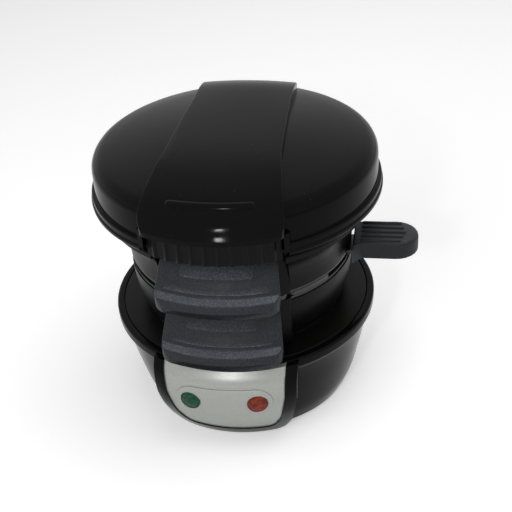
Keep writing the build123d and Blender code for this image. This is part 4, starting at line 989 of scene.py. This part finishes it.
def side_handle():
    """Handle of the cooking plate: flared root, round tip and ribs along its top."""
    handle = settings().handle
    low_corner, high_corner = HANDLE_LOW, HANDLE_HIGH
    y = (high_corner.y + low_corner.y) / 2
    half = 12 * MM
    y = high_corner.y - half
    root, end = BORE + 11.5 * MM, high_corner.x
    top = high_corner.z - 0.9 * MM
    outline = [(root, y - half - 5.8 * MM), (root + 1.5 * MM, y - half - 3.6 * MM), (root + 5 * MM, y - half)]
    outline += arc((end - half, y), half, -90, 90)
    outline += [(root, y + half * 0.9)]
    levels = [(low_corner.z, 0.5 * MM), (low_corner.z + 0.5 * MM, 0)] + rounded_levels(low_corner.z, top, 1.8 * MM)[5:]
    piece = slab("side_handle", outline, levels)
    drum = turned("drum", [(0, 0), (root, 0), (root, BEYOND), (0, BEYOND)], closed=False)
    combined(piece, drum, "DIFFERENCE")
    ribs = 5
    for row in range(ribs):
        place = y + (row - (ribs - 1) / 2) * half * 0.36
        rib_end = end - half * 0.75 + (1 - abs(row - 2) / 2) * 2.5 * MM
        piece = combined(piece, rib("rib", root + 4 * MM, rib_end, place, top, handle.rib), "UNION")
    return finished(piece, "slate_grip", "cooking_plate", "plate_handle", finish="slate_side")


def rib(name, start, end, y, z, radius):
    """Rib with round ends, along X."""
    wire = [(start, y, z)]
    wire += [(start + radius * (1 - math.cos(a)), y, z + radius * math.sin(a)) for a in (0.5, 1.0, math.pi / 2)]
    wire += [(end - radius * (1 - math.cos(a)), y, z + radius * math.sin(a)) for a in (math.pi / 2, 1.0, 0.5)]
    wire += [(end, y, z)]
    return spun(name, wire, (0, y, z), (1, 0, 0), closed=False, steps=20)


# ---- lid ----

def crown_height(radius, inset=0.0):
    """Height of the crown's arc at a radius."""
    lid = settings().lid
    wall = RIM_RADIUS - lid.rim_step - inset
    ball = (wall**2 + lid.edge_drop**2) / (2 * lid.edge_drop)
    return CROWN - inset - ball + math.sqrt(ball**2 - radius**2)


def dome_line(inset=0.0):
    """Crown, shoulder and wall of the dome from the middle down, as (radius, height, rounding) corners."""
    lid = settings().lid
    wall = RIM_RADIUS - lid.rim_step - inset
    crown = [(wall * step / 10, crown_height(wall * step / 10, inset), 0) for step in range(9)]
    return crown + [(wall, crown_height(wall, inset), lid.shoulder - inset)]


def dome():
    """Domed shell with a rolled rim; a bead runs along the rim's foot and up both sides of the front notch."""
    lid = settings().lid
    wall = RIM_RADIUS - lid.rim_step
    rim_top = RIM_FOOT + lid.rim_height
    outer = dome_line() + [
        (wall, rim_top, 0.5 * MM),
        (RIM_RADIUS - 0.5 * MM, rim_top, 1.0 * MM),
        (RIM_RADIUS - 0.7 * MM, RIM_FOOT + lid.bead + 0.4 * MM, 0.4 * MM),
        (RIM_RADIUS, RIM_FOOT + lid.bead - 0.1 * MM, 0.5 * MM),
        (RIM_RADIUS, RIM_FOOT, 1.1 * MM),
        (wall - lid.wall, RIM_FOOT, 0.4 * MM),
    ]
    inner = dome_line(lid.wall)
    corners = outer + list(reversed(inner))
    shell = turned("dome", eased(corners, closed=False), closed=False)
    top = BAND_UNDER + 1.5 * MM
    for side in (-1, 1):
        combined(shell, notch_bead(side, top), "UNION")
    half, flare = lid.notch_half, lid.notch_flare
    foot_arc = [(half + flare - x, RIM_FOOT + z) for x, z in arc((0, 0), flare, 0, 90)]
    right = [(half, top)] + foot_arc + [(half + flare, RIM_FOOT - 3 * MM)]
    notch = right + [(-x, z) for x, z in reversed(right)]
    combined(shell, prism("notch", [(x, -BORE * 0.7, z) for x, z in notch], (0, -BEYOND, 0)), "DIFFERENCE")
    return finished(shell, "gloss_black", "lid", "lid_shell")


def notch_bead(side, top):
    """Upright part of the rim's bead, beside the front notch."""
    lid = settings().lid
    inner = RIM_RADIUS - lid.rim_step - 0.5 * MM
    outer = RIM_RADIUS - 0.1 * MM
    start = lid.notch_half - 1 * MM
    end = lid.notch_half + lid.bead
    plan = []
    for radius, places in ((outer, (0, 0.5, 1)), (inner, (1, 0.5, 0))):
        for share in places:
            x = start + (end - start) * share
            plan.append((side * x, -math.sqrt(radius**2 - x**2)))
    if side < 0:
        plan.reverse()
    return prism("bead", [(x, y, RIM_FOOT + 0.3 * MM) for x, y in plan], (0, 0, top - RIM_FOOT))


def crest_line():
    """Top of the band along its middle, as (y, height) points from the rear to the lip."""
    wall = RIM_RADIUS - settings().lid.rim_step
    rear = high("lid_band").y
    return flow([
        (rear, CROWN - 5 * MM), (wall * 0.74, BAND_TOP - 2.1 * MM), (wall * 0.4, BAND_TOP - 0.15 * MM),
        (-wall * 0.4, BAND_TOP - 0.9 * MM), (-wall * 0.8, BAND_TOP - 5.5 * MM),
        (-wall, BAND_TOP - 12.3 * MM), (-LIP_RADIUS, RIM_FOOT + settings().lid.lip_rise),
    ], per=6)


def bowed(x, y):
    """Place along the band, bent back towards the sides as the front comes near the lip's arc."""
    share = min(1.0, max(0.0, (-y - 35 * MM) / (LIP_RADIUS - 35 * MM)))
    return y + share * (LIP_RADIUS - math.sqrt(LIP_RADIUS**2 - x**2))


def capsule(name, spine, radius, steps=20):
    """Round bar along a line of places, with rounded ends."""
    rings = []
    first, last = Vector(spine[0]), Vector(spine[-1])
    for place in spine:
        place = Vector(place)
        gap = min((place - first).length, (place - last).length)
        size = radius * math.sqrt(1 - (1 - min(1.0, (gap + 0.02 * radius) / radius)) ** 2)
        around = [2 * math.pi * step / steps for step in range(steps)]
        rings.append([place + Vector((0, math.cos(a), math.sin(a))) * size for a in around])
    return lofted(name, rings)


def crest():
    """Solid whose top is the band's top, bowed across and most at the rear."""
    lid = settings().lid
    rear = high("lid_band").y
    past_lip = (-LIP_RADIUS - 1.5 * MM, RIM_FOOT + lid.lip_rise - 2.1 * MM)
    line = [(rear + 5 * MM, CROWN - 9 * MM), *crest_line()[:-1], past_lip]
    line.append((-LIP_RADIUS - 5 * MM, BAND_UNDER - 5 * MM))
    rings = []
    right = [step * LIP_STEP for step in range(1, 7)] + [38 * MM, 46 * MM]
    for x in [-x for x in reversed(right)] + [0] + right:
        ring = []
        for y, top in line:
            rearward = min(1.0, max(0.0, (y - 15 * MM) / (rear - 15 * MM)))
            drop = (lid.band_crown + lid.band_rear_crown * rearward) * (x / lid.band_front_half) ** 2
            ring.append((x, bowed(x, y), top - drop * min(1.0, (y + LIP_RADIUS + 2 * MM) / (30 * MM))))
        ring += [(x, line[-1][0], RIM_FOOT - 20 * MM), (x, line[0][0], RIM_FOOT - 20 * MM)]
        rings.append(ring)
    return lofted("crest", rings)


def band():
    """Raised tapered band over the dome, with round front corners and a thin overhanging lip."""
    lid = settings().lid
    wall = RIM_RADIUS - lid.rim_step
    rear = high("lid_band").y
    right = [
        (6 * LIP_STEP, -math.sqrt(LIP_RADIUS**2 - (6 * LIP_STEP) ** 2), 0),
        (lid.band_front_half + 0.6 * MM, -wall + 2.0 * MM, lid.band_corner),
        (lid.band_front_half - 1.9 * MM, -wall * 0.84, 12 * MM),
        (lid.band_rear_half + 2.6 * MM, -wall * 0.4, 90 * MM),
        (lid.band_rear_half, wall * 0.4, 90 * MM),
        (lid.band_rear_half, rear, 9 * MM),
    ]
    left = [(-x, y, rounding) for x, y, rounding in reversed(right)]
    across = [step * LIP_STEP for step in range(-5, 6)]
    lip = [(x, -math.sqrt(LIP_RADIUS**2 - x**2), 0) for x in across]
    plan = eased(right + left + lip)
    base = RIM_FOOT - 10 * MM
    piece = prism("band", [(x, y, base) for x, y in plan], (0, 0, CROWN))
    combined(piece, crest(), "INTERSECT")
    welded(piece, 0.7 * MM)
    bevelled(piece, lid.band_edge, 4, 38)
    under = RIM_FOOT + lid.lip_rise - lid.lip
    cut = [(0, base - 5 * MM), (BEYOND, base - 5 * MM), (BEYOND, under), (wall - 0.4 * MM, under)]
    cut += list(reversed(eased(dome_line(0.4 * MM) + [(wall - 0.4 * MM, under, 0)], closed=False)[1:-1]))
    cut += [(0, crown_height(0, 0.4 * MM))]
    combined(piece, turned("under_band", cut, closed=False), "DIFFERENCE")
    y = -wall * 0.93
    slope = (level_on(crest_line(), y + 1 * MM) - level_on(crest_line(), y - 1 * MM)) / (2 * MM)
    normal = Vector((-slope, 1)).normalized() * lid.pad_sink
    centre_y, centre_z = y - normal.x, level_on(crest_line(), y) - normal.y
    spine = []
    for share in (-1, -0.985, -0.96, -0.93, -0.88, -0.7, -0.45, -0.2, 0, 0.2, 0.45, 0.7, 0.88, 0.93, 0.96, 0.985, 1):
        x = share * lid.pad_half
        spine.append((x, bowed(x, centre_y), centre_z))
    combined(piece, capsule("band_pad", spine, lid.pad_radius), "UNION")
    return finished(piece, "gloss_black", "lid", "lid_band")


def ribbed_wall():
    """Wall under the band's lip, with upright ribs for the fingers."""
    lid = settings().lid
    outer = RIM_RADIUS - lid.rim_step
    inner = outer - lid.wall
    turn = math.asin(lid.grip_half / outer)
    count = 160
    outline = []
    for step in range(count + 1):
        angle = turn * (2 * step / count - 1)
        wave = math.cos(2 * math.pi * (outer * angle / lid.grip_pitch + 0.5))
        radius = outer + 1.0 * MM * max(0.0, wave) ** 1.5 - 0.2 * MM
        outline.append((radius * math.sin(angle), -radius * math.cos(angle)))
    for step in range(24, -1, -1):
        angle = turn * (2 * step / 24 - 1)
        outline.append((inner * math.sin(angle), -inner * math.cos(angle)))
    piece = prism("ribbed_wall", [(x, y, GRIP_FOOT) for x, y in outline], (0, 0, GRIP_TOP - GRIP_FOOT + 1.5 * MM))
    return finished(piece, "satin_black", "lid", "lid_grip")


# ---- stage ----

CAMERA_PLACE = (0.08968, -0.43545, 0.37587)
CAMERA_RIGHT = (0.98750, 0.14622, -0.05881)
CAMERA_UP = (-0.03385, 0.56123, 0.82697)
CAMERA_AHEAD = (-0.15393, 0.81464, -0.55916)
SENSOR = 36.0
PICTURE_WIDTH = 512
FOCUS_PIXELS = 950
FLOOR_GLOW = 0.4


def seen_directly(tree):
    """One for the rays of the picture, of reflections and of glass, and zero for those that light things."""
    path = wired(tree, "ShaderNodeLightPath").outputs
    both = wired(tree, "ShaderNodeMath", {}, {0: path["Is Camera Ray"], 1: path["Is Glossy Ray"]}, operation="MAXIMUM")
    links = {0: both.outputs[0], 1: path["Is Transmission Ray"]}
    return wired(tree, "ShaderNodeMath", {}, links, operation="MAXIMUM").outputs[0]


def add_floor():
    deselect()
    bpy.ops.mesh.primitive_plane_add(size=8)
    floor = bpy.context.object
    floor.name = "floor"
    material, tree, shader, place = surface("floor", Roughness=0.8, Specular_IOR_Level=0.1)
    cloud = wired(tree, "ShaderNodeTexNoise", {"Scale": 3.0, "Detail": 2.0}, {"Vector": place}).outputs[0]
    tree.links.new(mixed_colour(tree, cloud, (0.87, 0.87, 0.87), (0.9, 0.9, 0.9)), shader["Base Color"])
    shader["Emission Color"].default_value = (1, 1, 1, 1)
    tree.links.new(ranged(tree, seen_directly(tree), (0, 1), (0, FLOOR_GLOW)), shader["Emission Strength"])
    floor.data.materials.append(material)


def add_lamp(name, place, size, energy, mirrored=False):
    lamp = bpy.data.lights.new(name, "AREA")
    lamp.size = size
    lamp.energy = energy
    holder = bpy.data.objects.new(name, lamp)
    holder.location = place
    holder.visible_glossy = mirrored
    aim = Vector((0, 0, 0.08)) - Vector(place)
    holder.rotation_euler = aim.to_track_quat("-Z", "Y").to_euler()
    bpy.context.scene.collection.objects.link(holder)


def add_world():
    world = bpy.data.worlds.new("studio")
    bpy.context.scene.world = world
    world.use_nodes = True
    tree = world.node_tree
    background = tree.nodes["Background"].inputs
    direction = wired(tree, "ShaderNodeSeparateXYZ")
    tree.links.new(wired(tree, "ShaderNodeTexCoord").outputs["Generated"], direction.inputs[0])
    seen = seen_directly(tree)
    height = ranged(tree, direction.outputs["Z"], (0.05, 0.6))
    height = product(tree, height, ranged(tree, seen, (0, 1), (1, 0)))
    tree.links.new(mixed_colour(tree, height, (1, 1, 1), (0.25, 0.25, 0.25)), background["Color"])
    tree.links.new(ranged(tree, seen, (0, 1), (0.36, 1.0)), background["Strength"])


def add_camera():
    lens = bpy.data.cameras.new("camera")
    lens.sensor_width = SENSOR
    lens.lens = SENSOR * FOCUS_PIXELS / PICTURE_WIDTH
    camera = bpy.data.objects.new("camera", lens)
    bpy.context.scene.collection.objects.link(camera)
    right, up, ahead = Vector(CAMERA_RIGHT), Vector(CAMERA_UP), Vector(CAMERA_AHEAD)
    matrix = Matrix((right, up, -ahead)).transposed().to_4x4()
    matrix.translation = Vector(CAMERA_PLACE)
    camera.matrix_world = matrix
    bpy.context.scene.camera = camera


# ---- operators ----

class SANDWICH_OT_base(bpy.types.Operator):
    """Model the glossy bowl and the deck on top of it"""

    bl_idname = "sandwich.base"
    bl_label = "Base"

    def execute(self, context):
        bowl()
        deck()
        return {"FINISHED"}


class SANDWICH_OT_panel(bpy.types.Operator):
    """Model the gloss frame and the silver panel inside it"""

    bl_idname = "sandwich.panel"
    bl_label = "Control Panel"

    def execute(self, context):
        panel_frame()
        silver_field()
        return {"FINISHED"}


class SANDWICH_OT_lights(bpy.types.Operator):
    """Model the green and the orange light"""

    bl_idname = "sandwich.lights"
    bl_label = "Lights"

    def execute(self, context):
        light("green_light", -1, "green_lens", "preheat_lens")
        light("orange_light", 1, "red_lens", "power_lens")
        return {"FINISHED"}


class SANDWICH_OT_handles(bpy.types.Operator):
    """Model the handles of both rings"""

    bl_idname = "sandwich.handles"
    bl_label = "Ring Handles"

    def execute(self, context):
        ring_handle("lower_handle", "bottom_ring_handle", "bottom_ring", low("bottom_ring_handle").z)
        ring_handle("upper_handle", "top_ring_handle", "top_ring", low("top_ring_handle").z)
        return {"FINISHED"}


class SANDWICH_OT_side_handle(bpy.types.Operator):
    """Model the ribbed handle of the cooking plate"""

    bl_idname = "sandwich.side_handle"
    bl_label = "Side Handle"

    def execute(self, context):
        side_handle()
        return {"FINISHED"}


class SANDWICH_OT_lid(bpy.types.Operator):
    """Model the dome, its band and the ribbed wall under the band's lip"""

    bl_idname = "sandwich.lid"
    bl_label = "Lid"

    def execute(self, context):
        dome()
        band()
        ribbed_wall()
        return {"FINISHED"}


class SANDWICH_OT_finishes(bpy.types.Operator):
    """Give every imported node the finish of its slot"""

    bl_idname = "sandwich.finishes"
    bl_label = "Finishes"

    def execute(self, context):
        for part in frame["record"]["subparts"]:
            node = frame["nodes"][part["node"]]
            material = material_of(part["material_slot"])
            if not node.material_slots:
                node.data.materials.append(material)
            for held in node.material_slots:
                held.material = material
        return {"FINISHED"}


class SANDWICH_OT_stage(bpy.types.Operator):
    """Set the floor, the light and the camera"""

    bl_idname = "sandwich.stage"
    bl_label = "Stage"

    def execute(self, context):
        add_floor()
        add_world()
        add_lamp("overhead", (0.25, 0.1, 1.15), 1.1, 8.0)
        add_lamp("front", (-0.5, -0.95, 0.75), 0.9, 5.0)
        add_lamp("glint", (-0.05, -0.72, 0.52), 0.06, 1.0, mirrored=True)
        add_camera()
        bpy.context.scene.view_settings.view_transform = "Standard"
        return {"FINISHED"}


class SANDWICH_PT_sidebar(bpy.types.Panel):
    """Sizes, colours and steps of the sandwich maker"""

    bl_idname = "SANDWICH_PT_sidebar"
    bl_label = "Sandwich Maker"
    bl_space_type = "VIEW_3D"
    bl_region_type = "UI"
    bl_category = "Sandwich Maker"

    def draw(self, context):
        for group in ("lid", "handle", "base", "finish"):
            box = self.layout.box()
            box.label(text=group.title())
            values = getattr(context.scene.sandwich_maker, group)
            for name in values.__annotations__:
                box.prop(values, name)
        for operator in STEPS:
            self.layout.operator(operator.bl_idname)


STEPS = (
    SANDWICH_OT_base, SANDWICH_OT_panel, SANDWICH_OT_lights, SANDWICH_OT_handles,
    SANDWICH_OT_side_handle, SANDWICH_OT_lid, SANDWICH_OT_finishes, SANDWICH_OT_stage,
)
GROUP_CLASSES = (LidSettings, HandleSettings, BaseSettings, FinishSettings, MakerSettings)
CLASSES = (*GROUP_CLASSES, *STEPS, SANDWICH_PT_sidebar)


def register():
    for cls in CLASSES:
        bpy.utils.register_class(cls)
    bpy.types.Scene.sandwich_maker = bpy.props.PointerProperty(type=MakerSettings)


def unregister():
    del bpy.types.Scene.sandwich_maker
    for cls in reversed(CLASSES):
        bpy.utils.unregister_class(cls)


def main():
    register()
    bpy.ops.sandwich.base()
    bpy.ops.sandwich.panel()
    bpy.ops.sandwich.lights()
    bpy.ops.sandwich.handles()
    bpy.ops.sandwich.side_handle()
    bpy.ops.sandwich.lid()
    bpy.ops.sandwich.finishes()
    bpy.ops.sandwich.stage()
    deselect()


if __name__ == "__main__":
    main()
